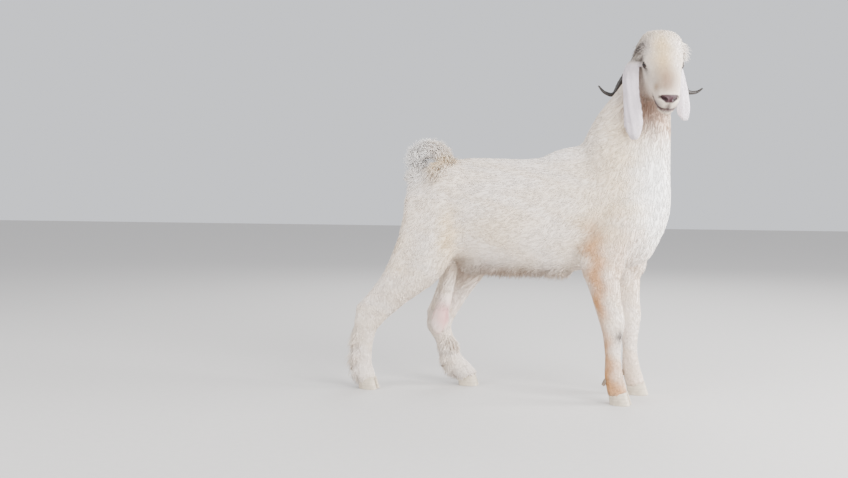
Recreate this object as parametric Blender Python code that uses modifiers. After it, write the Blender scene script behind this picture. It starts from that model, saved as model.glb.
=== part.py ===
"""A standing lop-eared billy goat, life size and still, in metres: +X forward, +Y its left, +Z up.

The flesh is modelled whole, from lofted sections and a few muscle masses, then parted with thin
cuts. Eyes, ears, horns, claws, tail and the hanging hair are pieces of their own around it.
"""
import math
from collections import namedtuple

import bmesh
import bpy
from mathutils import Euler, Matrix, Vector

# Driving dimensions of the animal, its coat included.
BARREL_HALF = 0.148     # half width of the barrel
HEAD_LENGTH = 0.270     # poll to nose
EYE_RADIUS = 0.0150
EYE_PROUD = 0.0015      # how far the eye stands out of the face
EAR_THICKNESS = 0.0060
HORN_RADIUS = 0.0150    # at the base
HOOF_LENGTH = 0.074     # along the sole
CLAW_WIDTH = 0.030
CLEFT = 0.005           # between the two claws of a foot
GAP = 0.0004            # between neighbouring pieces
FORE_CUT, HIND_CUT = 0.405, 0.385   # heights at which the upper legs part from the trunk

# How fine the solids are.
VOXEL = 0.0075
FINE_VOXEL = 0.0055
FLESH_TRIANGLES = 2950
RING_SIDES = 20
SPAN_STEPS = 4          # rings between two sections

# The head looks to the goat's right and down: degrees, and the point midway between the eyes.
HEAD_YAW, HEAD_PITCH, HEAD_ROLL = -71.0, 46.0, -0.5
HEAD_AT = Vector((0.540, -0.071, 1.156))

# One cross-section. Looking from tail to head, or from hip to hoof, dorsal is the back, nape,
# forehead or front of a leg, and ventral the belly, throat, chin or rear of a leg.
Section = namedtuple("Section", "at side dorsal ventral ridge keel")


def section(at, side, dorsal, ventral=None, ridge=2.0, keel=2.0):
    """ridge and keel are the exponents of the upper and lower half: 2 is round, less is sharper."""
    return Section(Vector(at), side, dorsal, dorsal if ventral is None else ventral, ridge, keel)


def sag_section(x, top, bottom, half_width, ridge=2.0, keel=2.0, widest=0.45):
    """A trunk section at x, from its top and bottom heights. widest is where it is widest."""
    middle = bottom + (top - bottom) * widest
    return section((x, 0, middle), half_width, top - middle, middle - bottom, ridge, keel)


TRUNK = [
    sag_section(-0.398, 0.775, 0.610, 0.046),
    sag_section(-0.365, 0.815, 0.540, 0.084, 2.0),
    sag_section(-0.290, 0.845, 0.490, 0.114, 1.9),
    sag_section(-0.190, 0.864, 0.472, 0.128, 1.8),
    sag_section(-0.080, 0.865, 0.462, BARREL_HALF - 0.004, 1.8, 2.1),
    sag_section(0.050, 0.860, 0.452, BARREL_HALF, 1.8, 2.2),
    sag_section(0.160, 0.872, 0.447, BARREL_HALF - 0.008, 1.8, 2.2),
    sag_section(0.250, 0.902, 0.450, BARREL_HALF - 0.018, 1.7, 2.1),
    sag_section(0.340, 0.905, 0.452, BARREL_HALF - 0.028, 1.8, 2.0),
    sag_section(0.430, 0.890, 0.462, BARREL_HALF - 0.038, 2.0, 2.0),
    sag_section(0.500, 0.875, 0.495, BARREL_HALF - 0.055, 2.0, 2.0),
    sag_section(0.538, 0.855, 0.570, BARREL_HALF - 0.085, 2.0, 2.0),
]

NECK = [
    section((0.365, 0.000, 0.740), 0.112, 0.120, 0.190),
    section((0.395, 0.000, 0.850), 0.106, 0.150, 0.184),
    section((0.428, 0.000, 0.950), 0.094, 0.141, 0.152),
    section((0.460, 0.000, 1.040), 0.082, 0.108, 0.118),
    section((0.482, 0.002, 1.105), 0.073, 0.082, 0.092),
    section((0.500, 0.004, 1.170), 0.065, 0.074, 0.072),
    section((0.512, 0.000, 1.210), 0.052, 0.056, 0.054),
]

# Head sections in its own frame, x towards the nose from the eye line and z up, as shares of its
# length: x, top, bottom, half width, ridge, keel.
HEAD_ROWS = [
    (-0.510, 0.200, 0.000, 0.150, 2.2, 2.0),
    (-0.440, 0.305, -0.130, 0.245, 2.4, 2.0),
    (-0.320, 0.360, -0.240, 0.292, 2.5, 2.0),
    (-0.190, 0.352, -0.330, 0.284, 2.4, 2.2),
    (-0.060, 0.315, -0.400, 0.258, 2.3, 2.6),
    (0.070, 0.275, -0.412, 0.238, 2.3, 2.8),
    (0.200, 0.242, -0.360, 0.214, 2.2, 2.7),
    (0.340, 0.202, -0.285, 0.184, 2.2, 2.4),
    (0.460, 0.146, -0.246, 0.165, 2.3, 2.2),
    (0.550, 0.078, -0.230, 0.153, 2.3, 2.2),
    (0.605, 0.005, -0.185, 0.112, 2.2, 2.2),
    (0.628, -0.045, -0.125, 0.052, 2.0, 2.0),
]

# Legs: the joints from the top down, then sections by place along the joints: half width, front,
# back. Past the last joint the hair hangs over the hoof.
Leg = namedtuple("Leg", "name joints rows toe_out")
FORE_ROWS = [
    (0.00, 0.050, 0.082, 0.082),
    (0.55, 0.052, 0.074, 0.078),
    (1.00, 0.049, 0.072, 0.070),
    (1.35, 0.042, 0.061, 0.060),
    (1.75, 0.036, 0.050, 0.050),
    (2.00, 0.038, 0.051, 0.046),
    (2.22, 0.032, 0.040, 0.037),
    (2.60, 0.027, 0.028, 0.030),
    (2.90, 0.031, 0.031, 0.036),
    (3.10, 0.034, 0.034, 0.038),
    (3.60, 0.035, 0.035, 0.035),
    (4.40, 0.037, 0.038, 0.034),
]
HIND_ROWS = [
    (0.00, 0.055, 0.095, 0.095),
    (0.50, 0.062, 0.096, 0.098),
    (1.00, 0.058, 0.068, 0.094),
    (1.45, 0.047, 0.056, 0.062),
    (1.80, 0.037, 0.053, 0.048),
    (2.02, 0.038, 0.057, 0.050),
    (2.25, 0.033, 0.045, 0.044),
    (2.60, 0.030, 0.035, 0.038),
    (2.90, 0.032, 0.036, 0.040),
    (3.10, 0.035, 0.037, 0.040),
    (3.60, 0.036, 0.036, 0.036),
    (4.40, 0.037, 0.038, 0.033),
]
CORONET = 0.046         # height of the last joint of each leg

LEGS = [
    Leg("fore_right", [(0.440, -0.092, 0.660), (0.335, -0.108, 0.500), (0.383, -0.106, 0.285),
                       (0.392, -0.105, 0.098), (0.402, -0.105, CORONET)], FORE_ROWS, 6),
    Leg("fore_left", [(0.450, 0.092, 0.660), (0.388, 0.106, 0.500), (0.412, 0.104, 0.285),
                      (0.424, 0.102, 0.098), (0.436, 0.102, CORONET)], FORE_ROWS, 6),
    Leg("hind_right", [(-0.255, -0.068, 0.720), (-0.280, -0.108, 0.470), (-0.528, -0.096, 0.262),
                       (-0.549, -0.090, 0.100), (-0.535, -0.090, CORONET)], HIND_ROWS, 5),
    Leg("hind_left", [(-0.240, 0.068, 0.720), (-0.160, 0.108, 0.490), (-0.312, 0.096, 0.238),
                      (-0.250, 0.092, 0.098), (-0.200, 0.092, CORONET)], HIND_ROWS, 5),
]


def clear_scene():
    for old in list(bpy.data.objects):
        bpy.data.objects.remove(old)


def finish(name, base_color, roughness):
    material = bpy.data.materials.new(name)
    material.use_nodes = True
    shader = material.node_tree.nodes["Principled BSDF"]
    shader.inputs["Base Color"].default_value = (*base_color, 1)
    shader.inputs["Roughness"].default_value = roughness
    shader.inputs["Metallic"].default_value = 0.0
    return material


def smooth_between(values, place):
    """Catmull-Rom through a list of equal-length rows at a fractional place."""
    last = len(values) - 1
    i = min(int(place), last - 1)
    t = place - i
    a, b, c, d = (values[min(max(k, 0), last)] for k in (i - 1, i, i + 1, i + 2))
    out = []
    for p, q, r, s in zip(a, b, c, d):
        out.append(0.5 * (2 * q + (r - p) * t + (2 * p - 5 * q + 4 * r - s) * t * t
                          + (3 * q - p - 3 * r + s) * t ** 3))
    return out


def smooth_path(rows, steps):
    count = (len(rows) - 1) * steps
    return [smooth_between(rows, k / steps) for k in range(count + 1)]


def ring_points(centre, left, dorsal, sizes, sides):
    side, up, down, ridge, keel = sizes
    points = []
    for k in range(sides):
        angle = 2 * math.pi * k / sides
        c, s = math.cos(angle), math.sin(angle)
        power = 2 / (ridge if s >= 0 else keel)
        across = side * math.copysign(abs(c) ** power, c)
        along = (up if s >= 0 else down) * math.copysign(abs(s) ** power, s)
        points.append(centre + left * across + dorsal * along)
    return points


def bridge(bm, rings):
    """Closes a row of equal rings of vertices into a solid."""
    for first, second in zip(rings, rings[1:]):
        for k in range(len(first)):
            n = (k + 1) % len(first)
            bm.faces.new((first[k], first[n], second[n], second[k]))
    bm.faces.new(list(reversed(rings[0])))
    bm.faces.new(rings[-1])


def loft(bm, sections, left=Vector((0, 1, 0)), place=Matrix.Identity(4), sides=RING_SIDES,
         steps=SPAN_STEPS, facing=None):
    """Adds a closed loft through sections to bm. left is the animal's left across every section.

    Each section stands across the path, unless facing gives one direction for them all.
    """
    path = smooth_path([(*s.at, s.side, s.dorsal, s.ventral, s.ridge, s.keel) for s in sections], steps)
    centres = [Vector(row[:3]) for row in path]
    rings = []
    for k, row in enumerate(path):
        ahead = centres[min(k + 1, len(path) - 1)] - centres[max(k - 1, 0)]
        ahead = facing or ahead.normalized()
        dorsal = ahead.cross(left).normalized()
        across = dorsal.cross(ahead).normalized()
        points = ring_points(centres[k], across, dorsal, row[3:], sides)
        rings.append([bm.verts.new(place @ p) for p in points])
    bridge(bm, rings)


def mass(bm, centre, sizes, turn=(0, 0, 0), place=Matrix.Identity(4), segments=20):
    """Adds an ellipsoid of muscle, bone or hair: half sizes along its own axes, turned in degrees."""
    spin = Euler([math.radians(a) for a in turn]).to_matrix().to_4x4()
    matrix = place @ Matrix.Translation(centre) @ spin @ Matrix.Diagonal((*sizes, 1))
    bmesh.ops.create_uvsphere(bm, u_segments=segments, v_segments=segments * 3 // 5, radius=1,
                              matrix=matrix)


def new_object(name, bm, material):
    bmesh.ops.recalc_face_normals(bm, faces=bm.faces)
    mesh = bpy.data.meshes.new(name)
    bm.to_mesh(mesh)
    bm.free()
    mesh.materials.append(material)
    mesh.shade_smooth()
    obj = bpy.data.objects.new(name, mesh)
    PARTS.objects.link(obj)
    return obj


def apply_modifiers(obj):
    graph = bpy.context.evaluated_depsgraph_get()
    mesh = bpy.data.meshes.new_from_object(obj.evaluated_get(graph), depsgraph=graph)
    obj.modifiers.clear()
    obj.data = mesh


def join_shells(obj, voxel, relax, triangles, soft=None):
    """Makes one closed skin of overlapping shells: voxel remesh, smooth, then thin out.

    soft names a function of a point, 0 to 1, that says how much more of the smoothing it takes.
    """
    remesh = obj.modifiers.new("join", "REMESH")
    remesh.mode = "VOXEL"
    remesh.voxel_size = voxel
    apply_modifiers(obj)
    if soft:
        group = obj.vertex_groups.new(name="soft")
        for vertex in obj.data.vertices:
            group.add([vertex.index], soft(vertex.co), "REPLACE")
        melt = obj.modifiers.new("melt", "SMOOTH")
        melt.factor, melt.iterations, melt.vertex_group = 0.5, 24, "soft"
    even = obj.modifiers.new("even", "SMOOTH")
    even.factor, even.iterations = 0.5, relax
    apply_modifiers(obj)
    obj.vertex_groups.clear()
    thin = obj.modifiers.new("thin", "DECIMATE")
    thin.ratio = triangles / (2 * len(obj.data.polygons))
    thin.use_collapse_triangulate = True
    apply_modifiers(obj)


def cut(obj, cutter):
    boolean = obj.modifiers.new("cut", "BOOLEAN")
    boolean.operation, boolean.solver, boolean.object = "DIFFERENCE", "EXACT", cutter
    apply_modifiers(obj)


def swollen(obj, name, by):
    """A copy of obj pushed outwards, which cuts its neighbours clear of it."""
    copy = bpy.data.objects.new(name, obj.data.copy())
    CUTTERS.objects.link(copy)
    push = copy.modifiers.new("push", "DISPLACE")
    push.strength, push.mid_level = by, 0.0
    apply_modifiers(copy)
    return copy


def head_matrix():
    turn = Euler([math.radians(a) for a in (HEAD_ROLL, HEAD_PITCH, HEAD_YAW)], "XYZ")
    return Matrix.Translation(HEAD_AT) @ turn.to_matrix().to_4x4()


def on_head(x, y, z):
    """A point given as shares of the head's length, in metres of the head's own frame."""
    return Vector((x, y, z)) * HEAD_LENGTH


def add_head(bm):
    place = head_matrix()
    sections = []
    for x, top, bottom, half, ridge, keel in HEAD_ROWS:
        middle = bottom + (top - bottom) * 0.56
        sections.append(section(on_head(x, 0, middle), half * HEAD_LENGTH,
                                (top - middle) * HEAD_LENGTH, (middle - bottom) * HEAD_LENGTH,
                                ridge, keel))
    loft(bm, sections, place=place)
    mass(bm, on_head(-0.27, 0, 0.235), (0.050, 0.060, 0.034), (0, -8, 0), place)   # topknot
    mass(bm, on_head(0.53, 0, -0.195), (0.030, 0.034, 0.024), (0, 0, 0), place)    # chin
    mass(bm, on_head(0.515, 0, -0.010), (0.034, 0.043, 0.032), (0, 20, 0), place)  # nose pad
    for sign in (-1, 1):
        mass(bm, on_head(-0.015, 0.186 * sign, 0.085), (0.036, 0.022, 0.028), (0, 0, -8 * sign), place)
        mass(bm, on_head(-0.030, 0.158 * sign, -0.190), (0.070, 0.026, 0.056), (0, 12, 0), place)
        mass(bm, on_head(-0.235, 0.215 * sign, 0.015), (0.026, 0.022, 0.026), (0, 0, 0), place)


def along_joints(joints, place):
    i = min(int(place), len(joints) - 2)
    return Vector(joints[i]).lerp(Vector(joints[i + 1]), place - i)


def add_leg(bm, leg):
    loft(bm, [section(along_joints(leg.joints, row[0]), *row[1:]) for row in leg.rows])
    sign = math.copysign(1, leg.joints[0][1])
    if leg.rows is FORE_ROWS:
        shoulder, elbow, knee = (Vector(j) for j in leg.joints[:3])
        mass(bm, shoulder + Vector((-0.075, -0.014 * sign, 0.080)), (0.068, 0.038, 0.150), (0, 24, 0))
        mass(bm, shoulder + Vector((-0.005, 0.002 * sign, -0.015)), (0.075, 0.040, 0.085))
        mass(bm, elbow + Vector((-0.022, 0, 0.020)), (0.050, 0.038, 0.060), (0, -20, 0))
        mass(bm, elbow + Vector((0.052, -0.008 * sign, -0.020)), (0.045, 0.034, 0.062), (0, 12, 0))
        mass(bm, knee + Vector((0.010, 0, 0.004)), (0.038, 0.036, 0.044))
        return
    hip, stifle, hock = (Vector(j) for j in leg.joints[:3])
    mass(bm, hip + Vector((0.030, -0.004 * sign, 0.040)), (0.105, 0.052, 0.088), (0, 10, 0))
    mass(bm, hip.lerp(stifle, 0.55) + Vector((0.015, 0.006 * sign, 0)), (0.090, 0.054, 0.130))
    pin = Vector((-0.345, 0.056 * sign, 0.725))
    behind = stifle.lerp(hock, 0.36) + Vector((-0.046, 0, 0.036))
    ham = pin.lerp(behind, 0.50) + Vector((0.038, 0.018 * sign, 0))
    tendon = hock + Vector((-0.014, 0, 0.040))
    loft(bm, [section(pin, 0.042, 0.052), section(ham, 0.050, 0.060), section(behind, 0.042, 0.045),
              section(behind.lerp(tendon, 0.6), 0.029, 0.030), section(tendon, 0.025, 0.027)])
    mass(bm, tendon + Vector((-0.004, 0, -0.004)), (0.030, 0.026, 0.032))


def softness(point):
    """The trunk and neck melt together more than the legs and head do."""
    off_legs = min(max((point.z - 0.48) / 0.12, 0), 1)
    off_head = min(max((1.06 - point.z) / 0.08, 0), 1)
    return off_legs * off_head


def build_flesh(coat):
    bm = bmesh.new()
    loft(bm, TRUNK, facing=Vector((1, 0, 0)))
    loft(bm, NECK)
    mass(bm, (0.502, 0, 0.700), (0.074, 0.088, 0.170), (0, 4, 0))                  # breast
    mass(bm, (0.230, 0, 0.825), (0.150, 0.070, 0.078), (0, -6, 0))                 # withers
    mass(bm, (-0.285, 0, 0.770), (0.115, 0.062, 0.066), (0, -16, 0))               # croup
    mass(bm, (-0.060, 0, 0.470), (0.130, 0.042, 0.020), (0, 2, 0))                 # sheath
    add_head(bm)
    for leg in LEGS:
        add_leg(bm, leg)
    flesh = new_object("flesh", bm, coat)
    join_shells(flesh, VOXEL, 5, FLESH_TRIANGLES, softness)
    return flesh


def add_slab(bm, centre, normal, size, thickness=GAP):
    """Adds a thin square plate through centre, across normal."""
    turn = Vector((0, 0, 1)).rotation_difference(Vector(normal)).to_matrix().to_4x4()
    matrix = Matrix.Translation(centre) @ turn @ Matrix.Diagonal((size, size, thickness, 1))
    bmesh.ops.create_cube(bm, size=1, matrix=matrix)


def coronet_matrix(leg):
    """The frame of a foot: its origin in the coronet, x towards the toe, tilted up to the front."""
    toe_out = leg.toe_out * math.copysign(1, leg.joints[0][1])
    turn = Euler((0, math.radians(-13), math.radians(toe_out))).to_matrix().to_4x4()
    at = Vector(leg.joints[4])
    return Matrix.Translation((at.x, at.y, CORONET - 0.008)) @ turn


def eye_matrix(flesh, sign):
    """The frame of an eye, its z the way the eye looks, set in the flesh with EYE_PROUD standing out."""
    place = head_matrix()
    gaze = place.to_3x3() @ Vector((0.42, sign, 0.22)).normalized()
    within = place @ on_head(-0.020, 0.10 * sign, 0.062)
    found, hit, _, _ = flesh.ray_cast(within + gaze * HEAD_LENGTH, -gaze)
    turn = Vector((0, 0, 1)).rotation_difference(gaze).to_matrix().to_4x4()
    return Matrix.Translation(hit - gaze * (EYE_RADIUS - EYE_PROUD)) @ turn


def cut_flesh(flesh, eyes):
    """Parts the flesh at the throat, neck, loin and leg joints, and makes room for eyes and feet."""
    bm = bmesh.new()
    add_slab(bm, (0.500, -0.010, 1.070), (0.225, -0.556, 0.800), 0.42)
    add_slab(bm, (0.435, 0, 0.790), (0.668, 0, 0.745), 0.50)
    add_slab(bm, (0.205, 0, 0.680), (1, 0, 0), 0.60)
    add_slab(bm, (-0.110, 0, 0.680), (1, 0, 0), 0.55)
    for leg in LEGS:
        joints = [Vector(j) for j in leg.joints]
        top, size = (FORE_CUT, 0.19) if leg.rows is FORE_ROWS else (HIND_CUT, 0.27)
        share = (joints[1].z - top) / (joints[1].z - joints[2].z)
        add_slab(bm, joints[1].lerp(joints[2], share), (joints[1] - joints[2]).normalized(), size)
        for k in (2, 3):
            across = ((joints[k] - joints[k - 1]).normalized() + (joints[k + 1] - joints[k]).normalized())
            add_slab(bm, joints[k] - Vector((0, 0, 0.030)), across.normalized(), 0.15)
        below = coronet_matrix(leg) @ Matrix.Translation((0, 0, -0.10))
        bmesh.ops.create_cube(bm, size=1, matrix=below @ Matrix.Diagonal((0.20, 0.13, 0.20, 1)))
    for eye in eyes:
        bmesh.ops.create_uvsphere(bm, u_segments=12, v_segments=8, radius=EYE_RADIUS + GAP, matrix=eye)
    plates = new_object("plates", bm, flesh.data.materials[0])
    cut(flesh, plates)
    bpy.data.objects.remove(plates)


def islands(bm):
    """The separate bodies of a mesh, each a list of faces."""
    left = set(bm.faces)
    found = []
    while left:
        stack = [left.pop()]
        body = list(stack)
        while stack:
            for edge in stack.pop().edges:
                for face in edge.link_faces:
                    if face in left:
                        left.remove(face)
                        stack.append(face)
                        body.append(face)
        found.append(body)
    return found


def flesh_names():
    """Each flesh piece's name, and a point at about its middle."""
    named = {"head": HEAD_AT, "neck": Vector((0.450, 0, 0.960)), "chest": Vector((0.380, 0, 0.650)),
             "barrel": Vector((0.030, 0, 0.660)), "hindquarters": Vector((-0.260, 0, 0.660))}
    for leg in LEGS:
        joints = [Vector(j) for j in leg.joints]
        named["upper_leg_" + leg.name] = joints[1].lerp(joints[2], 0.68)
        named["cannon_" + leg.name] = joints[2].lerp(joints[3], 0.55)
        named["pastern_" + leg.name] = joints[3].lerp(joints[4], 0.60)
    return named


def part_flesh(flesh, coat):
    named = flesh_names()
    whole = bmesh.new()
    whole.from_mesh(flesh.data)
    bodies = islands(whole)
    if len(bodies) != len(named):
        raise ValueError("the cuts left %d pieces, not %d" % (len(bodies), len(named)))
    for body in bodies:
        centre = sum((face.calc_center_median() * face.calc_area() for face in body), Vector())
        centre /= sum(face.calc_area() for face in body)
        name = min(named, key=lambda one: (named[one] - centre).length)
        del named[name]
        piece = bmesh.new()
        copies = {}
        for face in body:
            for vert in face.verts:
                if vert not in copies:
                    copies[vert] = piece.verts.new(vert.co)
            piece.faces.new([copies[vert] for vert in face.verts])
        new_object(name, piece, coat)
    whole.free()
    bpy.data.objects.remove(flesh)


def build_eye(side, matrix, glassy):
    bm = bmesh.new()
    bmesh.ops.create_uvsphere(bm, u_segments=12, v_segments=8, radius=EYE_RADIUS, matrix=matrix)
    new_object("eye_" + side, bm, glassy)


# An ear's midline from root to tip: place, width along the curve, and the way its outer face looks.
EARS = {
    "right": [((0.464, -0.046, 1.204), 0.044, (-0.80, -0.50, 0.30)),
              ((0.431, -0.073, 1.184), 0.096, (-0.72, -0.68, 0.20)),
              ((0.425, -0.095, 1.143), 0.094, (-0.55, -0.82, 0.00)),
              ((0.431, -0.109, 1.092), 0.082, (-0.48, -0.87, 0.00)),
              ((0.436, -0.117, 1.043), 0.085, (-0.42, -0.90, 0.00)),
              ((0.443, -0.121, 0.995), 0.086, (-0.36, -0.93, 0.00)),
              ((0.450, -0.123, 0.949), 0.076, (-0.30, -0.95, 0.05)),
              ((0.457, -0.121, 0.911), 0.026, (-0.25, -0.95, 0.20))],
    "left": [((0.590, -0.008, 1.203), 0.036, (0.90, 0.10, 0.30)),
             ((0.598, 0.006, 1.180), 0.056, (0.95, 0.00, 0.20)),
             ((0.601, 0.020, 1.142), 0.070, (0.90, -0.40, 0.00)),
             ((0.607, 0.034, 1.102), 0.078, (0.82, -0.56, 0.00)),
             ((0.611, 0.046, 1.064), 0.080, (0.78, -0.62, 0.00)),
             ((0.613, 0.056, 1.028), 0.078, (0.75, -0.66, 0.00)),
             ((0.612, 0.062, 1.003), 0.064, (0.72, -0.68, -0.10)),
             ((0.610, 0.066, 0.984), 0.024, (0.70, -0.70, -0.20))],
}
EAR_CURL = 62.0         # half of the arc the leaf is rolled through, in degrees
EAR_ACROSS, EAR_ALONG = 4, 2


def build_ear(side, coat):
    """A drooping leaf, rolled lengthwise, as a sheet that Solidify thickens."""
    rows = smooth_path([(*at, width, *out) for at, width, out in EARS[side]], EAR_ALONG)
    bm = bmesh.new()
    lines = []
    for k, row in enumerate(rows):
        ahead = Vector(rows[min(k + 1, len(rows) - 1)][:3]) - Vector(rows[max(k - 1, 0)][:3])
        outward = Vector(row[4:])
        outward = (outward - outward.project(ahead)).normalized()
        across = ahead.normalized().cross(outward)
        radius = row[3] / (2 * math.radians(EAR_CURL))
        line = []
        for j in range(EAR_ACROSS + 1):
            angle = math.radians(EAR_CURL) * (2 * j / EAR_ACROSS - 1)
            offset = across * math.sin(angle) + outward * (math.cos(angle) - 1)
            line.append(bm.verts.new(Vector(row[:3]) + offset * radius))
        lines.append(line)
    for first, second in zip(lines, lines[1:]):
        for j in range(EAR_ACROSS):
            bm.faces.new((first[j], first[j + 1], second[j + 1], second[j]))
    ear = new_object("ear_" + side, bm, coat)
    thick = ear.modifiers.new("thickness", "SOLIDIFY")
    thick.thickness, thick.offset = EAR_THICKNESS, 0
    apply_modifiers(ear)
    return ear


# A horn's midline in the head's shares, seen on the left, and its radius.
HORN = [
    ((-0.33, 0.12, 0.19), HORN_RADIUS),
    ((-0.42, 0.20, 0.05), HORN_RADIUS * 0.97),
    ((-0.44, 0.22, -0.09), HORN_RADIUS * 0.90),
    ((-0.43, 0.25, -0.22), HORN_RADIUS * 0.82),
    ((-0.38, 0.32, -0.36), HORN_RADIUS * 0.74),
    ((-0.28, 0.42, -0.49), HORN_RADIUS * 0.65),
    ((-0.18, 0.50, -0.59), HORN_RADIUS * 0.55),
    ((-0.19, 0.62, -0.57), HORN_RADIUS * 0.40),
    ((-0.23, 0.71, -0.49), HORN_RADIUS * 0.18),
]
# How far the left horn's last points stray from a mirror of the right one's.
LEFT_HORN_STRAY = [Vector((-0.028, -0.025, 0.028)), Vector((-0.010, -0.034, 0.008)),
                   Vector((0.017, -0.045, -0.014))]


def build_horn(side, sign, material):
    """A horn that sweeps back beside the poll, down behind the ear, then out and up at the tip."""
    rows = []
    strays = [Vector()] * (len(HORN) - len(LEFT_HORN_STRAY)) + LEFT_HORN_STRAY
    for (at, radius), stray in zip(HORN, strays):
        x, y, z = Vector(at) + (stray if sign > 0 else Vector())
        rows.append(section(on_head(x, y * sign, z), radius, radius * 1.15))
    bm = bmesh.new()
    loft(bm, rows, left=Vector((0.7, 0.5 * sign, 0.5)).normalized(), place=head_matrix(), sides=8, steps=2)
    return new_object("horn_" + side, bm, material)


def build_tail(coat):
    """The tail is carried up and curled forward over the croup, and its hair stands out round it."""
    bm = bmesh.new()
    loft(bm, [section((-0.372, 0.000, 0.760), 0.036, 0.036),
              section((-0.392, 0.000, 0.820), 0.040, 0.040, 0.038),
              section((-0.382, 0.000, 0.870), 0.044, 0.042, 0.036),
              section((-0.338, -0.004, 0.898), 0.046, 0.038, 0.034),
              section((-0.285, -0.012, 0.892), 0.046, 0.036, 0.034),
              section((-0.250, -0.022, 0.858), 0.044, 0.038, 0.034),
              section((-0.250, -0.034, 0.818), 0.036, 0.034, 0.030),
              section((-0.262, -0.042, 0.795), 0.020, 0.020)])
    mass(bm, (-0.330, -0.004, 0.850), (0.060, 0.026, 0.040))
    tail = new_object("tail", bm, coat)
    join_shells(tail, FINE_VOXEL, 3, 260)
    return tail


def build_scrotum(bare):
    bm = bmesh.new()
    loft(bm, [section((-0.222, 0, 0.475), 0.030, 0.028), section((-0.238, 0, 0.400), 0.030, 0.028),
              section((-0.256, 0, 0.330), 0.036, 0.031), section((-0.267, 0, 0.283), 0.036, 0.030)])
    for sign in (-1, 1):
        mass(bm, (-0.271, 0.021 * sign, 0.259), (0.034, 0.028, 0.060), (4 * sign, 4, 0))
    pouch = new_object("scrotum", bm, bare)
    join_shells(pouch, FINE_VOXEL, 3, 220)
    return pouch


def build_feather(leg, size, coat):
    """The long hair that hangs behind a hind cannon, down to the heel."""
    joints = [Vector(j) for j in leg.joints]
    bm = bmesh.new()
    loft(bm, [section(joints[2].lerp(joints[3], 0.02) + Vector((-0.034, 0, 0)), 0.012, 0.012, size * 0.2),
              section(joints[2].lerp(joints[3], 0.50) + Vector((-0.036, 0, 0)), 0.022, 0.016, size * 0.6),
              section(joints[3] + Vector((-0.034, 0, 0.020)), 0.028, 0.018, size * 0.8),
              section(joints[3] + Vector((-0.034, 0, -0.030)), 0.026, 0.018, size * 0.5),
              section(joints[3] + Vector((-0.036, 0, -0.058)), 0.010, 0.010, size * 0.2)])
    feather = new_object("feather_" + leg.name, bm, coat)
    join_shells(feather, FINE_VOXEL, 2, 120)
    return feather


def build_fringe(coat):
    """The line of longer hair along the middle of the belly."""
    bm = bmesh.new()
    loft(bm, [section((-0.150, 0, 0.462), 0.016, 0.012, 0.016),
              section((-0.100, 0, 0.448), 0.026, 0.020),
              section((-0.020, 0, 0.440), 0.030, 0.020, 0.034),
              section((0.080, 0, 0.438), 0.028, 0.020, 0.030),
              section((0.150, 0, 0.442), 0.022, 0.020, 0.024),
              section((0.215, 0, 0.448), 0.010, 0.012)],
         sides=12)
    fringe = new_object("belly_fringe", bm, coat)
    join_shells(fringe, FINE_VOXEL, 2, 150)
    return fringe


def claw_outline(scale, forward, height, side):
    """One level of a claw: flat on its inner side, bowed on its outer side, pointed at the toe."""
    points = []
    for k in range(4):
        points.append(((k / 3 - 0.5) * 0.86, 0.02 + 0.05 * (k / 3) ** 4))
    for k in range(7):
        angle = math.pi * k / 6
        along = 0.5 * math.cos(angle) + 0.03 * math.sin(angle)
        points.append((along, 0.16 + 0.84 * math.sin(angle) ** 0.75))
    length, width = HOOF_LENGTH * scale, CLAW_WIDTH * (0.5 + 0.5 * scale)
    return [Vector((x * length + forward, side * (CLEFT / 2 + y * width), height)) for x, y in points]


def build_claw(leg, which, side, horny):
    """A cloven hoof's half: flat sole on the floor, sloping front wall, top under the coronet."""
    at = leg.joints[4]
    outward = math.copysign(1, leg.joints[0][1])
    stand = Matrix.Translation((at[0] + 0.006, at[1], 0)) @ Matrix.Rotation(
        math.radians(leg.toe_out * outward), 4, "Z")
    splay = Matrix.Rotation(math.radians(3.5 * side), 4, "Z")
    top = coronet_matrix(leg)
    lift = top.to_3x3() @ Vector((0, 0, 1))
    bm = bmesh.new()
    rings = []
    for scale, forward, height in ((1.00, 0.008, 0), (0.97, 0.005, 0.012), (0.88, -0.002, None)):
        ring = []
        for point in claw_outline(scale, forward, height or 0, side):
            p = stand @ splay @ point
            if height is None:
                under = top.translation - lift * GAP
                p.z = under.z - ((p.x - under.x) * lift.x + (p.y - under.y) * lift.y) / lift.z
            ring.append(bm.verts.new(p))
        rings.append(ring)
    bridge(bm, rings)
    return new_object("claw_%s_%s" % (leg.name, which), bm, horny)


def build_dewclaw(name, leg, side, horny, grown=0.0):
    """A small horn knob behind the fetlock. A grown one cuts the hair clear of it."""
    fetlock = Vector(leg.joints[3])
    at = fetlock + Vector((-0.030, 0.017 * side, -0.022))
    turn = Vector((0, 0, 1)).rotation_difference(Vector((-0.55, 0.25 * side, -0.80))).to_matrix().to_4x4()
    bm = bmesh.new()
    bmesh.ops.create_cone(bm, cap_ends=True, segments=10, radius1=0.0100 + grown,
                          radius2=0.0055 + grown, depth=0.024 + 2 * grown,
                          matrix=Matrix.Translation(at) @ turn)
    return new_object(name, bm, horny)


def keep_largest(obj):
    """Drops the crumbs a cut leaves beside the piece."""
    bm = bmesh.new()
    bm.from_mesh(obj.data)
    bodies = sorted(islands(bm), key=len, reverse=True)
    crumbs = [face for body in bodies[1:] for face in body]
    bmesh.ops.delete(bm, geom=crumbs, context="FACES")
    bmesh.ops.delete(bm, geom=[v for v in bm.verts if not v.link_faces], context="VERTS")
    bm.to_mesh(obj.data)
    bm.free()


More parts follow.
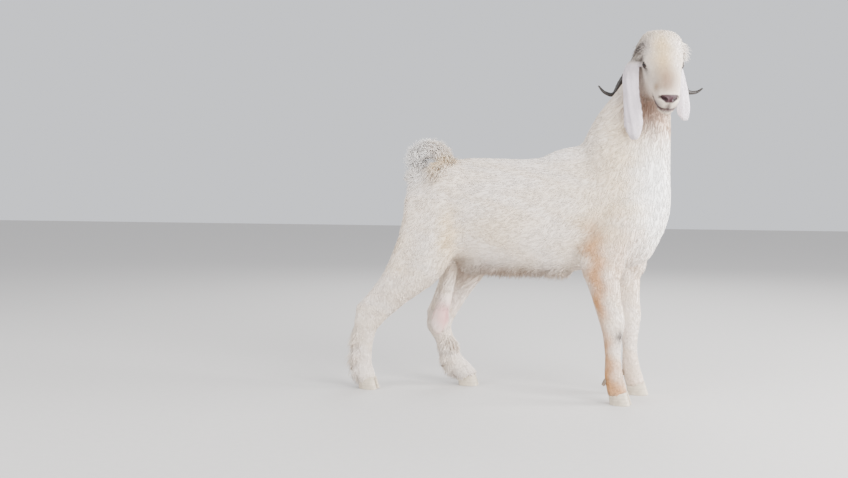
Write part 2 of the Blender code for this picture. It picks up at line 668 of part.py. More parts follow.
def centre_on_floor():
    """Moves the animal so that the origin is on the floor, under the middle of its outline."""
    points = [vertex.co for obj in PARTS.objects for vertex in obj.data.vertices]
    middle = [(min(p[k] for p in points) + max(p[k] for p in points)) / 2 for k in (0, 1)]
    for obj in PARTS.objects:
        obj.data.transform(Matrix.Translation((-middle[0], -middle[1], 0)))
        obj.data.shade_smooth()


def build():
    coat = finish("coat", (0.76, 0.73, 0.69), 0.85)
    bare = finish("bare_skin", (0.52, 0.40, 0.38), 0.60)
    horny = finish("horn", (0.07, 0.06, 0.055), 0.45)
    hoof = finish("hoof", (0.36, 0.32, 0.27), 0.55)
    glassy = finish("eye", (0.10, 0.06, 0.03), 0.10)

    flesh = build_flesh(coat)
    skin = swollen(flesh, "skin", GAP)
    around = [build_ear("right", coat), build_ear("left", coat),
              build_horn("right", -1, horny), build_horn("left", 1, horny),
              build_tail(coat), build_scrotum(bare), build_fringe(coat)]
    for leg in LEGS:
        for which, side in (("right", -1), ("left", 1)):
            build_claw(leg, which, side, hoof)
            around.append(build_dewclaw("dewclaw_%s_%s" % (leg.name, which), leg, side, hoof))
    for leg, size in ((LEGS[2], 0.055), (LEGS[3], 0.040)):
        feather = build_feather(leg, size, coat)
        around.append(feather)
        for side in (-1, 1):
            room = build_dewclaw("room", leg, side, hoof, 2 * GAP)
            cut(feather, room)
            bpy.data.objects.remove(room)
    for piece in around:
        cut(piece, skin)
        keep_largest(piece)
    bpy.data.objects.remove(skin)
    for side in ("right", "left"):
        clearance = swollen(bpy.data.objects["horn_" + side], "clearance", 2 * GAP)
        cut(bpy.data.objects["ear_" + side], clearance)
        keep_largest(bpy.data.objects["ear_" + side])
        bpy.data.objects.remove(clearance)

    eyes = [eye_matrix(flesh, -1), eye_matrix(flesh, 1)]
    cut_flesh(flesh, eyes)
    part_flesh(flesh, coat)
    build_eye("right", eyes[0], glassy)
    build_eye("left", eyes[1], glassy)
    centre_on_floor()


clear_scene()
PARTS = bpy.data.collections.new("goat")
CUTTERS = bpy.data.collections.new("cutters")
for group in (PARTS, CUTTERS):
    bpy.context.scene.collection.children.link(group)
build()
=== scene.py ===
"""The looks of a standing lop-eared billy goat: one skin, a coat of locks, eyes, horns and hooves.

Everything is in metres in the frame of the solids: +X forward, +Y the animal's left, +Z up.
"""

import math
from collections import namedtuple

import bmesh
import bpy
import numpy as np
from mathutils import Euler, Matrix, Vector
from mathutils.bvhtree import BVHTree


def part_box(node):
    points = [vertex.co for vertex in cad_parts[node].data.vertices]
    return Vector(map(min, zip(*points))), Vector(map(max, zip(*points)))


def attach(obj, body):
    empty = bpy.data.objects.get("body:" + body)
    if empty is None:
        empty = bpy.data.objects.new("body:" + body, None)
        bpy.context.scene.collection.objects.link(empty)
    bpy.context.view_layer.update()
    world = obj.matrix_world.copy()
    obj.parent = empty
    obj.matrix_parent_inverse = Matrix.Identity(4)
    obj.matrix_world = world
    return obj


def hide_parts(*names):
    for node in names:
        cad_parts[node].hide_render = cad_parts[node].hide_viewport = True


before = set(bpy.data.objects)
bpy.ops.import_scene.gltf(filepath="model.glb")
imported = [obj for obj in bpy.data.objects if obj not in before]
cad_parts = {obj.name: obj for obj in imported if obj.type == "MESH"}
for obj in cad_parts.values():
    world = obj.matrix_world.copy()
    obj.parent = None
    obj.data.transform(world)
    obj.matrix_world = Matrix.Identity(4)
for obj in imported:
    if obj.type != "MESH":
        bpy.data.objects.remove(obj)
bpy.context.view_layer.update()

LEGS = ("fore_left", "fore_right", "hind_left", "hind_right")
SIDES = ("left", "right")
TORSO = ("head", "neck", "chest", "barrel", "hindquarters")
FLESH = TORSO + tuple(part + leg for leg in LEGS for part in ("upper_leg_", "cannon_", "pastern_"))

# How fine the skin is, in metres, and how many triangles it keeps away from the head.
SKIN_VOXEL = 0.0036
BODY_KEPT = 0.14
CUT_WIDTH = 0.0009      # more than the thin cuts that part the solids
WELD = 0.00002          # corners nearer than this are one

# The head's own frame: x towards the nose, y to its left, z up out of the forehead.
HEAD_LENGTH = 0.270
HEAD_TURN = Euler([math.radians(a) for a in (-0.5, 46.0, -71.0)], "XYZ").to_matrix()
EYES_IN_HEAD = Vector((0.0231, -0.0017, 0.0846)) * HEAD_LENGTH
EYE_RADIUS = 0.0150

rng = np.random.default_rng(54)


# ---------------------------------------------------------------- places on the animal

def middle(name, share=(0.5, 0.5, 0.5)):
    """A point in a CAD node's box, by its share along each side."""
    low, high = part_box(name)
    return Vector([low[k] + (high[k] - low[k]) * share[k] for k in range(3)])


EYES = {side: middle("eye_" + side) for side in SIDES}
HEAD_AT = (EYES["left"] + EYES["right"]) / 2 - HEAD_TURN @ EYES_IN_HEAD
TURN = np.array(HEAD_TURN)


def on_head(x, y, z):
    """A point given as shares of the head's length in the head's frame."""
    return HEAD_AT + HEAD_TURN @ (Vector((x, y, z)) * HEAD_LENGTH)


def in_head(points):
    """World points as shares of the head's length in the head's frame."""
    return (points - np.array(HEAD_AT)) @ TURN / HEAD_LENGTH


def sign_of(side):
    """1 on the animal's left, -1 on its right."""
    return 1 if side == "left" else -1


def smooth_step(x, low, high):
    t = np.clip((x - low) / (high - low), 0, 1)
    return t * t * (3 - 2 * t)


def bump(x, width):
    """1 where x is 0, falling away over width."""
    return np.exp(-(x / width) ** 2)


def unit(v):
    return v / np.maximum(np.linalg.norm(v, axis=-1, keepdims=True), 1e-9)


def spline(points, count):
    """count points on a smooth curve through a short list of points or rows."""
    rows = np.array([list(p) for p in points], float)
    padded = np.vstack([2 * rows[0] - rows[1], rows, 2 * rows[-1] - rows[-2]])
    out = []
    for place in np.linspace(0, len(rows) - 1, count):
        i = min(int(place), len(rows) - 2)
        t = place - i
        a, b, c, d = padded[i:i + 4]
        out.append(0.5 * (2 * b + (c - a) * t + (2 * a - 5 * b + 4 * c - d) * t * t
                          + (3 * b - a - 3 * c + d) * t ** 3))
    return np.array(out)


# The tail's bone: up from the croup, over and down again, as shares of the tail node's box.
TAIL_LINE = spline([middle("tail", s) for s in (
    (0.42, 0.50, -0.10), (0.30, 0.50, 0.30), (0.34, 0.50, 0.62), (0.52, 0.46, 0.76),
    (0.76, 0.30, 0.70), (0.88, 0.08, 0.52), (0.84, -0.06, 0.34))], 40)
TAIL_RADIUS = 0.025


# ---------------------------------------------------------------- making meshes

def put_in_scene(name, data):
    obj = bpy.data.objects.new(name, data)
    bpy.context.scene.collection.objects.link(obj)
    return obj


def new_object(name, bm, material=None):
    mesh = bpy.data.meshes.new(name)
    bm.to_mesh(mesh)
    bm.free()
    mesh.shade_smooth()
    if material:
        mesh.materials.append(material)
    return put_in_scene(name, mesh)


def apply_modifiers(obj):
    graph = bpy.context.evaluated_depsgraph_get()
    mesh = bpy.data.meshes.new_from_object(obj.evaluated_get(graph), depsgraph=graph)
    obj.modifiers.clear()
    obj.data = mesh
    mesh.shade_smooth()


def finish_piece(obj, slot, *nodes):
    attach(obj, "root")
    if nodes:
        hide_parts(*nodes)
    return obj


def merged_copy(name):
    """A CAD node's loose triangles as one joined-up bmesh."""
    bm = bmesh.new()
    bm.from_mesh(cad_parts[name].data)
    bmesh.ops.remove_doubles(bm, verts=bm.verts, dist=WELD)
    return bm


def blob(bm, centre, sizes, turn=None):
    """Adds an ellipsoid of half sizes along its own axes."""
    matrix = Matrix.Translation(centre) @ (turn or Matrix.Identity(4)) @ Matrix.Diagonal((*sizes, 1))
    bmesh.ops.create_uvsphere(bm, u_segments=20, v_segments=12, radius=1, matrix=matrix)


def ring_matrix(line, k):
    """The frame of a tube's ring: z along the line."""
    ahead = Vector(line[min(k + 1, len(line) - 1)] - line[max(k - 1, 0)]).normalized()
    turn = ahead.to_track_quat("Z", "Y").to_matrix().to_4x4()
    return Matrix.Translation(line[k]) @ turn


def tube(bm, line, radii, sides):
    """Adds a closed tube by extruding a circle from point to point along a line."""
    ring = bmesh.ops.create_circle(bm, cap_ends=True, segments=sides, radius=radii[0],
                                   matrix=ring_matrix(line, 0))["verts"]
    bmesh.ops.reverse_faces(bm, faces=list({f for v in ring for f in v.link_faces}))
    edges = list({e for v in ring for e in v.link_edges if e.other_vert(v) in ring})
    for k in range(1, len(line)):
        grown = bmesh.ops.extrude_edge_only(bm, edges=edges)["geom"]
        ring = [g for g in grown if isinstance(g, bmesh.types.BMVert)]
        edges = [g for g in grown if isinstance(g, bmesh.types.BMEdge)
                 and all(v in ring for v in g.verts)]
        shrink = Matrix.Scale(radii[k] / radii[k - 1], 4)
        matrix = ring_matrix(line, k) @ shrink @ ring_matrix(line, k - 1).inverted()
        bmesh.ops.transform(bm, matrix=matrix, verts=ring)
    bmesh.ops.contextual_create(bm, geom=edges)


# ---------------------------------------------------------------- the skin

def search_tree(*names):
    """A tree that finds the nearest place on some CAD nodes."""
    bm = bmesh.new()
    for name in names:
        bm.from_mesh(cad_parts[name].data)
    tree = BVHTree.FromBMesh(bm)
    bm.free()
    return tree


EAR_TREE = {side: search_tree("ear_" + side) for side in SIDES}


def ear_share(points, side):
    """1 on an ear, 0 away from it, by how near its solid is."""
    low, high = (np.array(p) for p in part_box("ear_" + side))
    share = np.zeros(len(points))
    for k in np.nonzero(np.all((points > low - 0.006) & (points < high + 0.006), axis=1))[0]:
        gap = EAR_TREE[side].find_nearest(points[k], 0.006)[3]
        share[k] = 0 if gap is None else 1 - smooth_step(gap, 0.0020, 0.0050)
    return share


def ear_drop(points, side):
    """How far down an ear's box each point is, 0 at its top and 1 at its tip."""
    low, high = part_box("ear_" + side)
    return (high[2] - points[:, 2]) / (high[2] - low[2])


def whole_flesh():
    """The flesh nodes as one closed mesh, with the thin cuts between them healed."""
    bm = bmesh.new()
    for name in FLESH:
        bm.from_mesh(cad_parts[name].data)
    bmesh.ops.remove_doubles(bm, verts=bm.verts, dist=WELD)
    bm.normal_update()
    tree = BVHTree.FromBMesh(bm)
    facing = []
    for face in bm.faces:
        centre = face.calc_center_median()
        hit, normal, _, _ = tree.ray_cast(centre + face.normal * 0.00005, face.normal, CUT_WIDTH)
        socket = any((centre - eye).length < EYE_RADIUS + 0.0012 for eye in EYES.values())
        if socket or (hit and normal.dot(face.normal) < -0.9):
            facing.append(face)
    bmesh.ops.delete(bm, geom=facing, context="FACES")
    rims = [v for v in bm.verts if any(e.is_boundary for e in v.link_edges)]
    bmesh.ops.remove_doubles(bm, verts=rims, dist=CUT_WIDTH)
    bmesh.ops.holes_fill(bm, edges=[e for e in bm.edges if e.is_boundary], sides=0)
    bmesh.ops.triangulate(bm, faces=[f for f in bm.faces if len(f.verts) > 4])
    return bm


def add_shell(bm, shell):
    """Copies one bmesh into another and frees it."""
    mesh = bpy.data.meshes.new("shell")
    shell.to_mesh(mesh)
    shell.free()
    bm.from_mesh(mesh)
    bpy.data.meshes.remove(mesh)


def add_ear(bm, side):
    """The ear's leaf, and the stem that carries it from inside the head."""
    leaf = merged_copy("ear_" + side)
    top = sorted(leaf.verts, key=lambda v: -v.co.z)[:18]
    root = sum((v.co for v in top), Vector()) / len(top)
    add_shell(bm, leaf)
    inner = on_head(-0.23, 0.17 * sign_of(side), 0.06)
    line = spline([inner, inner.lerp(root, 0.55), root - Vector((0, 0, 0.022))], 7)
    tube(bm, line, np.linspace(0.026, 0.013, 7), 14)


def build_skin():
    bm = whole_flesh()
    for side in SIDES:
        add_ear(bm, side)
        blob(bm, EYES[side], (EYE_RADIUS + 0.001,) * 3)
    add_shell(bm, merged_copy("scrotum"))
    blob(bm, middle("scrotum", (0.6, 0.5, 0.97)), (0.036, 0.030, 0.030))
    for leg in LEGS:
        blob(bm, middle("pastern_" + leg, (0.54, 0.5, 0.20)), (0.032, 0.032, 0.012))
    radii = TAIL_RADIUS * np.linspace(1.25, 0.6, len(TAIL_LINE))
    tube(bm, TAIL_LINE[::3], radii[::3], 14)
    bmesh.ops.recalc_face_normals(bm, faces=bm.faces)
    skin = new_object("skin", bm)
    rounder = skin.modifiers.new("rounder", "SUBSURF")
    rounder.levels = rounder.render_levels = 2
    join = skin.modifiers.new("join", "REMESH")
    join.mode, join.voxel_size = "VOXEL", SKIN_VOXEL
    apply_modifiers(skin)
    # The remesh varies in its last digits from run to run, so its points are rounded to 0.1 mm.
    points, _ = points_of(skin)
    set_points(skin, np.round(points, 4))
    even = skin.modifiers.new("even", "SMOOTH")
    even.factor, even.iterations = 0.5, 8
    apply_modifiers(skin)
    return skin


def thin_out(skin):
    """Fewer, larger faces away from the head and ears."""
    points, _ = points_of(skin)
    keep = head_share(points)
    group = skin.vertex_groups.new(name="body")
    for k in np.nonzero(keep < 0.5)[0]:
        group.add([int(k)], 1.0, "REPLACE")
    thin = skin.modifiers.new("thin", "DECIMATE")
    thin.ratio, thin.vertex_group = BODY_KEPT, "body"
    thin.use_collapse_triangulate = True
    apply_modifiers(skin)
    skin.vertex_groups.clear()


def read(rows, key, width, kind=np.float32):
    """One property of every row of a mesh, a row to each."""
    flat = np.empty(len(rows) * width, kind)
    rows.foreach_get(key, flat)
    return flat.reshape(-1, width)


def write(rows, key, values, kind=np.float32):
    rows.foreach_set(key, values.astype(kind).ravel())


def add_attribute(mesh, name, kind, key, values):
    """A value for every point of a mesh, for its material to read."""
    write(mesh.attributes.new(name, kind, "POINT").data, key, values)


def points_of(obj):
    """A mesh's points and their normals."""
    mesh = obj.data
    return (read(mesh.vertices, "co", 3).astype(float),
            read(mesh.vertex_normals, "vector", 3).astype(float))


def triangles_of(mesh):
    return read(mesh.polygons, "vertices", 3, np.int32)


def set_points(obj, points):
    write(obj.data.vertices, "co", points)
    obj.data.update()


def head_share(points):
    """1 on the head and ears, 0 on the body."""
    near = np.linalg.norm(points - np.array(on_head(0.0, 0, 0)), axis=1)
    share = 1 - smooth_step(near, 0.15, 0.19)
    return np.maximum.reduce([share] + [ear_share(points, side) for side in SIDES])


# ---------------------------------------------------------------- how the coat lies

# What the coat does around a place: how deep it is over the skin, a lock's length and width, how
# far it stands off the skin in degrees, the most it stands clear, its share of locks, and the way
# it lies. Lengths are in millimetres.
Lay = namedtuple("Lay", "at reach depth length width lift clear many lie")


def both_sides(name, x, y, z, *rest):
    """The same lay on the left and right. y is the share out from the node's middle."""
    *sizes, (ahead, out, up) = rest
    return [Lay(middle(name, (x, 0.5 + 0.5 * y * sign, z)), *sizes, Vector((ahead, out * sign, up)))
            for sign in (-1, 1)]


def head_lays(x, y, z, *rest):
    """The same, with the place and the lie in the head's frame."""
    *sizes, (ahead, out, up) = rest
    return [Lay(on_head(x, y * sign, z), *sizes, HEAD_TURN @ Vector((ahead, out * sign, up)))
            for sign in (-1, 1)]


# Lays by node: place, reach, then the measures above, then the lie.
BODY_LAYS = {
    "barrel": (
        (0.90, 0.8, 0.85, 0.13, 6, 26, 3.6, 7, 4.5, 1.0, (-1, 0.1, -0.25)),
        (0.10, 0.8, 0.85, 0.13, 6, 26, 3.6, 7, 4.5, 1.0, (-1, 0.1, -0.25)),
        (0.90, 0.9, 0.40, 0.13, 6, 26, 3.6, 7, 4.5, 1.0, (-0.9, 0, -0.55)),
        (0.10, 0.9, 0.40, 0.13, 6, 26, 3.6, 7, 4.5, 1.0, (-1, 0, -0.35)),
        (0.80, 0.3, 0.00, 0.10, 5, 24, 3.2, 10, 6.0, 0.8, (-1, 0, -0.1)),
        (0.15, 0.3, 0.00, 0.10, 5, 24, 3.2, 10, 6.0, 0.8, (-1, 0, -0.1)),
    ),
    "chest": (
        (0.25, 0.5, 0.95, 0.10, 7, 28, 3.6, 8, 6.0, 1.0, (-1, 0.1, -0.2)),
        (0.35, 0.9, 0.60, 0.12, 5, 24, 3.4, 7, 4.0, 1.0, (-0.5, 0, -0.9)),
        (0.70, 0.8, 0.50, 0.10, 6, 24, 3.4, 8, 5.0, 1.0, (-0.3, 0, -1)),
        (0.97, 0.1, 0.55, 0.09, 8, 30, 3.8, 10, 7.0, 1.0, (-0.1, 0.2, -1)),
        (0.80, 0.2, 0.15, 0.08, 7, 28, 3.6, 12, 7.0, 1.0, (-0.5, 0, -0.8)),
        (0.45, 0.8, 0.15, 0.07, 4, 17, 2.8, 7, 3.5, 1.1, (-0.3, 0, -1)),
    ),
    "neck": (
        (0.60, 0.8, 0.30, 0.10, 7, 28, 3.8, 8, 6.0, 1.0, (-0.35, 0, -0.95)),
        (0.70, 0.8, 0.65, 0.08, 6, 26, 3.4, 8, 5.5, 1.0, (-0.3, 0, -0.95)),
        (0.75, 0.7, 0.95, 0.06, 5, 20, 2.8, 8, 5.0, 1.0, (-0.25, 0, -1)),
        (0.15, 0.2, 0.55, 0.09, 8, 30, 3.8, 9, 7.0, 1.0, (-0.8, 0.1, -0.6)),
        (0.95, 0.2, 0.60, 0.08, 7, 30, 3.6, 10, 7.0, 1.0, (-0.15, 0.1, -1)),
    ),
    "hindquarters": (
        (0.75, 0.5, 0.98, 0.10, 7, 28, 3.8, 8, 6.0, 1.0, (-1, 0.2, -0.1)),
        (0.25, 0.6, 0.92, 0.09, 8, 30, 3.8, 10, 7.0, 1.0, (-0.8, 0.3, -0.6)),
        (0.50, 0.9, 0.60, 0.12, 6, 27, 3.6, 8, 5.0, 1.0, (-0.6, 0, -0.8)),
        (0.05, 0.5, 0.62, 0.09, 9, 36, 4.0, 20, 14.0, 1.1, (-0.35, 0, -1)),
        (0.02, 0.3, 0.84, 0.07, 8, 38, 3.6, 20, 16.0, 1.6, (-0.5, 0, -0.85)),
        (0.60, 0.9, 0.20, 0.08, 5, 22, 3.2, 8, 4.5, 1.0, (-0.3, 0, -1)),
        (0.15, 0.8, 0.20, 0.08, 6, 26, 3.4, 12, 7.0, 1.0, (-0.3, 0, -1)),
    ),
}
HEAD_LAYS = (
    (-0.25, 0.10, 0.36, 0.050, 6.0, 17, 2.6, 22, 8.0, 1.3, (-0.8, 0.25, 0.2)),
    (-0.30, 0.16, 0.20, 0.022, 4.0, 26, 2.4, 30, 14.0, 2.4, (-0.5, 0.6, -0.2)),
    (-0.22, 0.24, 0.14, 0.020, 3.0, 44, 2.2, 52, 46.0, 4.0, (0.4, 0.5, -0.5)),
    (-0.40, 0.15, 0.15, 0.050, 5.0, 18, 2.8, 14, 6.0, 1.2, (-0.8, 0.2, -0.5)),
    (-0.08, 0.08, 0.32, 0.040, 3.0, 10, 2.0, 10, 3.2, 1.4, (-0.9, 0.2, 0.3)),
    (0.12, 0.08, 0.26, 0.040, 1.8, 8, 1.6, 6, 1.8, 1.5, (-0.9, 0.25, 0.2)),
    (0.40, 0.08, 0.18, 0.040, 1.2, 6, 1.3, 5, 1.3, 1.6, (-0.95, 0.25, 0)),
    (0.58, 0.06, 0.02, 0.028, 0.6, 3, 0.8, 3, 0.7, 0.8, (-0.5, 0.8, -0.2)),
    (0.00, 0.26, -0.10, 0.045, 2.2, 9, 1.9, 6, 2.2, 1.4, (-0.7, 0, -0.7)),
    (0.06, 0.24, 0.07, 0.020, 0.6, 4, 0.9, 3, 0.8, 1.6, (-0.9, 0, -0.3)),
    (0.30, 0.18, -0.10, 0.040, 1.5, 7, 1.5, 6, 1.6, 1.5, (-0.8, 0, -0.55)),
    (0.54, 0.10, -0.10, 0.028, 0.6, 3.5, 0.9, 3, 0.8, 1.6, (-0.7, 0.3, -0.6)),
    (0.50, 0.08, -0.22, 0.026, 1.0, 6, 1.2, 8, 1.6, 1.4, (-0.8, 0, -0.6)),
    (-0.25, 0.18, -0.25, 0.050, 3.0, 14, 2.4, 8, 4.0, 1.3, (-0.8, 0, -0.6)),
    (0.15, 0.06, -0.40, 0.040, 2.6, 12, 2.2, 12, 4.0, 1.3, (-0.9, 0, -0.3)),
)


def all_lays():
    lays = []
    for name, rows in BODY_LAYS.items():
        for row in rows:
            lays += both_sides(name, *row)
    for leg in LEGS:
        hind = leg.startswith("hind")
        for part, z, size in (("upper_leg_", 0.7, 1.25), ("upper_leg_", 0.1, 1.0),
                              ("cannon_", 0.5, 0.85), ("cannon_", 0.1, 0.8), ("pastern_", 0.3, 0.7)):
            shaggy = 1.25 if hind else 1.0
            lays.append(Lay(middle(part + leg, (0.5, 0.5, z)), 0.055, 3.2 * size * shaggy,
                            15 * size * shaggy, 2.5 * size, 8, 3.2 * size * shaggy, 1.2,
                            Vector((-0.06, 0, -1))))
    for row in HEAD_LAYS:
        lays += head_lays(*row)
    for leg, length in (("hind_right", 58), ("hind_left", 50)):
        for z in (0.15, 0.45, 0.75):
            lays.append(Lay(middle("feather_" + leg, (0.95, 0.5, z)), 0.022, 2, length, 3.2, 40, 50, 9.0,
                            Vector((-0.45, 0, -1))))
    for x in (0.1, 0.3, 0.5, 0.7, 0.9):
        lays.append(Lay(middle("belly_fringe", (x, 0.5, 1.0)), 0.034, 4, 44, 3.0, 58, 40, 12.0,
                        Vector((-0.7, 0, -0.2))))
    for leg in LEGS:
        hind = leg.startswith("hind")
        lays.append(Lay(middle("pastern_" + leg, (0.5, 0.5, 0.05)), 0.034, 1.5, 42 if hind else 24,
                        2.6, 10, 32, 9.0, Vector((0.08, 0, -1))))
    return lays


LAYS = all_lays()
TAIL_LAY = Lay(None, None, 0, 36, 3.2, 36, 45, 7.0, None)
EAR_LAY = Lay(None, None, 0.5, 8, 1.4, 5, 1.0, 1.5, Vector((0, 0, -1)))


def tail_frame(points):
    """How near each point is to the tail's bone, 0 to 1, and the way its hair lies there."""
    gap = points[:, None, :] - TAIL_LINE[None]
    distance = np.linalg.norm(gap, axis=2)
    nearest = distance.argmin(1)
    share = 1 - smooth_step(distance.min(1), TAIL_RADIUS * 1.2, TAIL_RADIUS * 1.7)
    share *= smooth_step(nearest, 1, 5)
    along = unit(np.gradient(TAIL_LINE, axis=0))[nearest]
    return share, unit(along * 0.75 + unit(gap[np.arange(len(points)), nearest]) * 0.25)


def coat_at(points):
    """The blended lay at each point, one column per measure, and the way the coat lies."""
    values = np.array([lay[2:8] for lay in LAYS])
    lies = np.array([unit(np.array(lay.lie)) for lay in LAYS])
    centres = np.array([lay.at for lay in LAYS])
    reach = np.array([lay.reach for lay in LAYS])
    measures = np.empty((len(points), values.shape[1]))
    lie = np.empty((len(points), 3))
    for start in range(0, len(points), 20000):
        part = slice(start, start + 20000)
        distance = np.linalg.norm(points[part, None, :] - centres[None], axis=2)
        weight = np.exp(-np.minimum((distance / reach) ** 2, 60)) * values[:, 5]
        weight += 1e-12 / (distance + 0.01) ** 2
        weight /= weight.sum(1, keepdims=True)
        measures[part] = weight @ values
        lie[part] = weight @ lies
    tail, tail_lie = tail_frame(points)
    ear = np.maximum(ear_share(points, "left"), ear_share(points, "right"))
    for share, lay, way in ((tail, TAIL_LAY, tail_lie), (ear, EAR_LAY, np.array(EAR_LAY.lie))):
        measures += (np.array(lay[2:8]) - measures) * share[:, None]
        lie += (way - lie) * share[:, None]
    swirl = np.sin(points[:, [1, 2, 0]] * 41 + 1.3) * np.cos(points[:, [2, 0, 1]] * 33)
    return measures, unit(lie + swirl * 0.16)


# ---------------------------------------------------------------- the face

def eye_axes(side):
    """The way an eye looks, its long axis towards the nose, and up across its lids."""
    gaze = (HEAD_TURN @ Vector((0.42, sign_of(side), 0.22))).normalized()
    ahead = HEAD_TURN @ Vector((1, 0, -0.12))
    ahead = (ahead - ahead.project(gaze)).normalized()
    up = gaze.cross(ahead)
    if up.dot(HEAD_TURN @ Vector((0, 0, 1))) < 0:
        up = -up
    return np.array(gaze), np.array(ahead), np.array(up)


def eye_gap(points, side):
    """Distance from an eye's centre, in its radii."""
    return np.linalg.norm(points - np.array(EYES[side]), axis=1) / EYE_RADIUS


LID_LONG, LID_UP, LID_DOWN = 0.62, 0.34, 0.30      # half angles of the opening
LIDS_REACH = 1.9        # how far from the eye its lids go, in its radii
LID_THICKNESS = 0.0013


def lid_place(points, side):
    """How far each point is from the eye's opening, 1 at its edge, and its height up the eye."""
    gaze, ahead, up = eye_axes(side)
    way = unit(points - np.array(EYES[side]))
    along = np.arctan2(way @ ahead, way @ gaze)
    height = np.arctan2(way @ up, way @ gaze)
    tall = np.where(height > 0, LID_UP, LID_DOWN)
    place = np.abs(along / LID_LONG) ** 2.0 + np.abs(height / tall) ** 1.5
    return np.where(way @ gaze > 0.15, place, 9.0), height


def open_lids(points):
    """Presses the skin in behind each eye's opening and raises the lids' rims round it."""
    for side in SIDES:
        centre = np.array(EYES[side])
        away = points - centre
        distance = np.linalg.norm(away, axis=1)
        place, height = lid_place(points, side)
        near = (distance < EYE_RADIUS * 2.2) & (place < 8)
        rim = EYE_RADIUS + LID_THICKNESS
        inner = EYE_RADIUS - 0.003 + (0.003 + LID_THICKNESS) * smooth_step(place, 0.92, 1.10)
        fold = 0.0014 * bump(place - 2.3, 0.45) * np.where(height > 0, 1, 0.6)
        outer = distance - fold + 0.0006 * bump(place - 1.5, 0.4)
        wanted = inner + (np.maximum(outer, rim * 0.99) - inner) * smooth_step(place, 1.5, 3.0)
        moved = centre + unit(away) * wanted[:, None]
        points = np.where(near[:, None], moved, points)
    return points


def segment_distance(points, start, end):
    start, end = np.array(start, float), np.array(end, float)
    share = np.clip((points - start) @ (end - start) / ((end - start) @ (end - start)), 0, 1)
    return np.linalg.norm(points - start - share[:, None] * (end - start), axis=1)


def mouth_height(x):
    """Where the lips meet, over the length of the muzzle, in the head's shares."""
    return np.interp(x, (0.38, 0.50, 0.60, 0.66), (-0.085, -0.108, -0.128, -0.138))


def mouth_gap(at):
    """Height above the line where the lips meet, in metres, and how much a place is on the lips."""
    return (at[:, 2] - mouth_height(at[:, 0])) * HEAD_LENGTH, smooth_step(at[:, 0], 0.36, 0.42)


def nostril_gap(at):
    """Distance from the bent slit of the nearer nostril, in metres."""
    mirrored = np.stack([at[:, 0], np.abs(at[:, 1]), at[:, 2]], 1)
    first = segment_distance(mirrored, (0.600, 0.052, 0.018), (0.570, 0.105, 0.030))
    second = segment_distance(mirrored, (0.570, 0.105, 0.030), (0.552, 0.116, 0.016))
    return np.minimum(first, second) * HEAD_LENGTH


# Creases and crests of the face in the head's shares, on the left, with height and width in metres:
# the tear line, the cheek's crest and the jaw's edge.
FACE_CREASES = (
    ((0.090, 0.190, 0.060), (0.230, 0.185, -0.020), -0.0016, 0.004),
    ((0.080, 0.225, -0.030), (0.330, 0.170, -0.060), 0.0018, 0.007),
    ((-0.150, 0.250, -0.100), (0.050, 0.230, -0.330), -0.0018, 0.008),
)


def carve_face(points, normals):
    """Nostrils, lips, the groove under the nose, tear lines and the hollow before the eye."""
    at = in_head(points)
    x, y, z = at.T
    side = np.abs(y)
    mirrored = np.stack([x, side, z], 1)
    push = np.zeros(len(points))
    mouth, on_lips = mouth_gap(at)
    push += on_lips * (-0.0052 * bump(mouth, 0.0027) + 0.0012 * bump(mouth - 0.007, 0.0035)
                       + 0.0018 * bump(mouth + 0.007, 0.0035))
    nostril = nostril_gap(at)
    push += -0.0080 * bump(nostril, 0.0040) + 0.0014 * bump(nostril - 0.0085, 0.0028)
    front = smooth_step(x, 0.55, 0.60) * smooth_step(z, -0.14, -0.12) * (1 - smooth_step(z, 0.0, 0.04))
    push += -0.0016 * front * bump(y * HEAD_LENGTH, 0.0016)
    for start, end, height, width in FACE_CREASES:
        push += height * bump(segment_distance(mirrored, start, end) * HEAD_LENGTH, width)
    return points + normals * push[:, None]


def flute_ears(points):
    """Long soft ridges down each ear's leaf, which bend both its faces together."""
    for side in SIDES:
        drop = ear_drop(points, side)
        inside = (ear_share(points, side) > 0.5) & (drop > 0.12)
        if not inside.any():
            continue
        leaf = points[inside]
        _, _, axes = np.linalg.svd(leaf - leaf.mean(0), full_matrices=False)
        across = (leaf - leaf.mean(0)) @ axes[1]
        wave = np.sin(across * 260 + drop[inside] * 3.0) + 0.5 * np.sin(drop[inside] * 21 + across * 60)
        strength = 0.0011 * smooth_step(drop[inside], 0.12, 0.35)
        points[inside] = leaf + axes[2] * (wave * strength)[:, None]
    return points


def refine(obj, chosen):
    """Splits the edges of the faces for which chosen says so, by their middles."""
    bm = bmesh.new()
    bm.from_mesh(obj.data)
    centres = np.array([f.calc_center_median() for f in bm.faces])
    flags = chosen(centres)
    edges = {e for f, flag in zip(bm.faces, flags) if flag for e in f.edges}
    bmesh.ops.subdivide_edges(bm, edges=list(edges), cuts=1, use_grid_fill=True)
    bmesh.ops.triangulate(bm, faces=[f for f in bm.faces if len(f.verts) > 3])
    bm.to_mesh(obj.data)
    bm.free()
    obj.data.shade_smooth()


def near_eyes(centres):
    found = np.zeros(len(centres), bool)
    for side in SIDES:
        place, _ = lid_place(centres, side)
        found |= (eye_gap(centres, side) < LIDS_REACH) & (place < 3.4)
    return found


def on_muzzle(centres):
    return in_head(centres)[:, 0] > 0.36


def on_lips_and_nose(centres):
    at = in_head(centres)
    return (at[:, 0] > 0.42) & ((np.abs(mouth_gap(at)[0]) < 0.012) | (nostril_gap(at) < 0.014))


# ---------------------------------------------------------------- markings, with painted shade and light

def colour(red, green, blue):
    """A colour given as sRGB 0 to 255, made linear."""
    c = np.array((red, green, blue)) / 255
    return np.where(c <= 0.04045, c / 12.92, ((c + 0.055) / 1.055) ** 2.4)


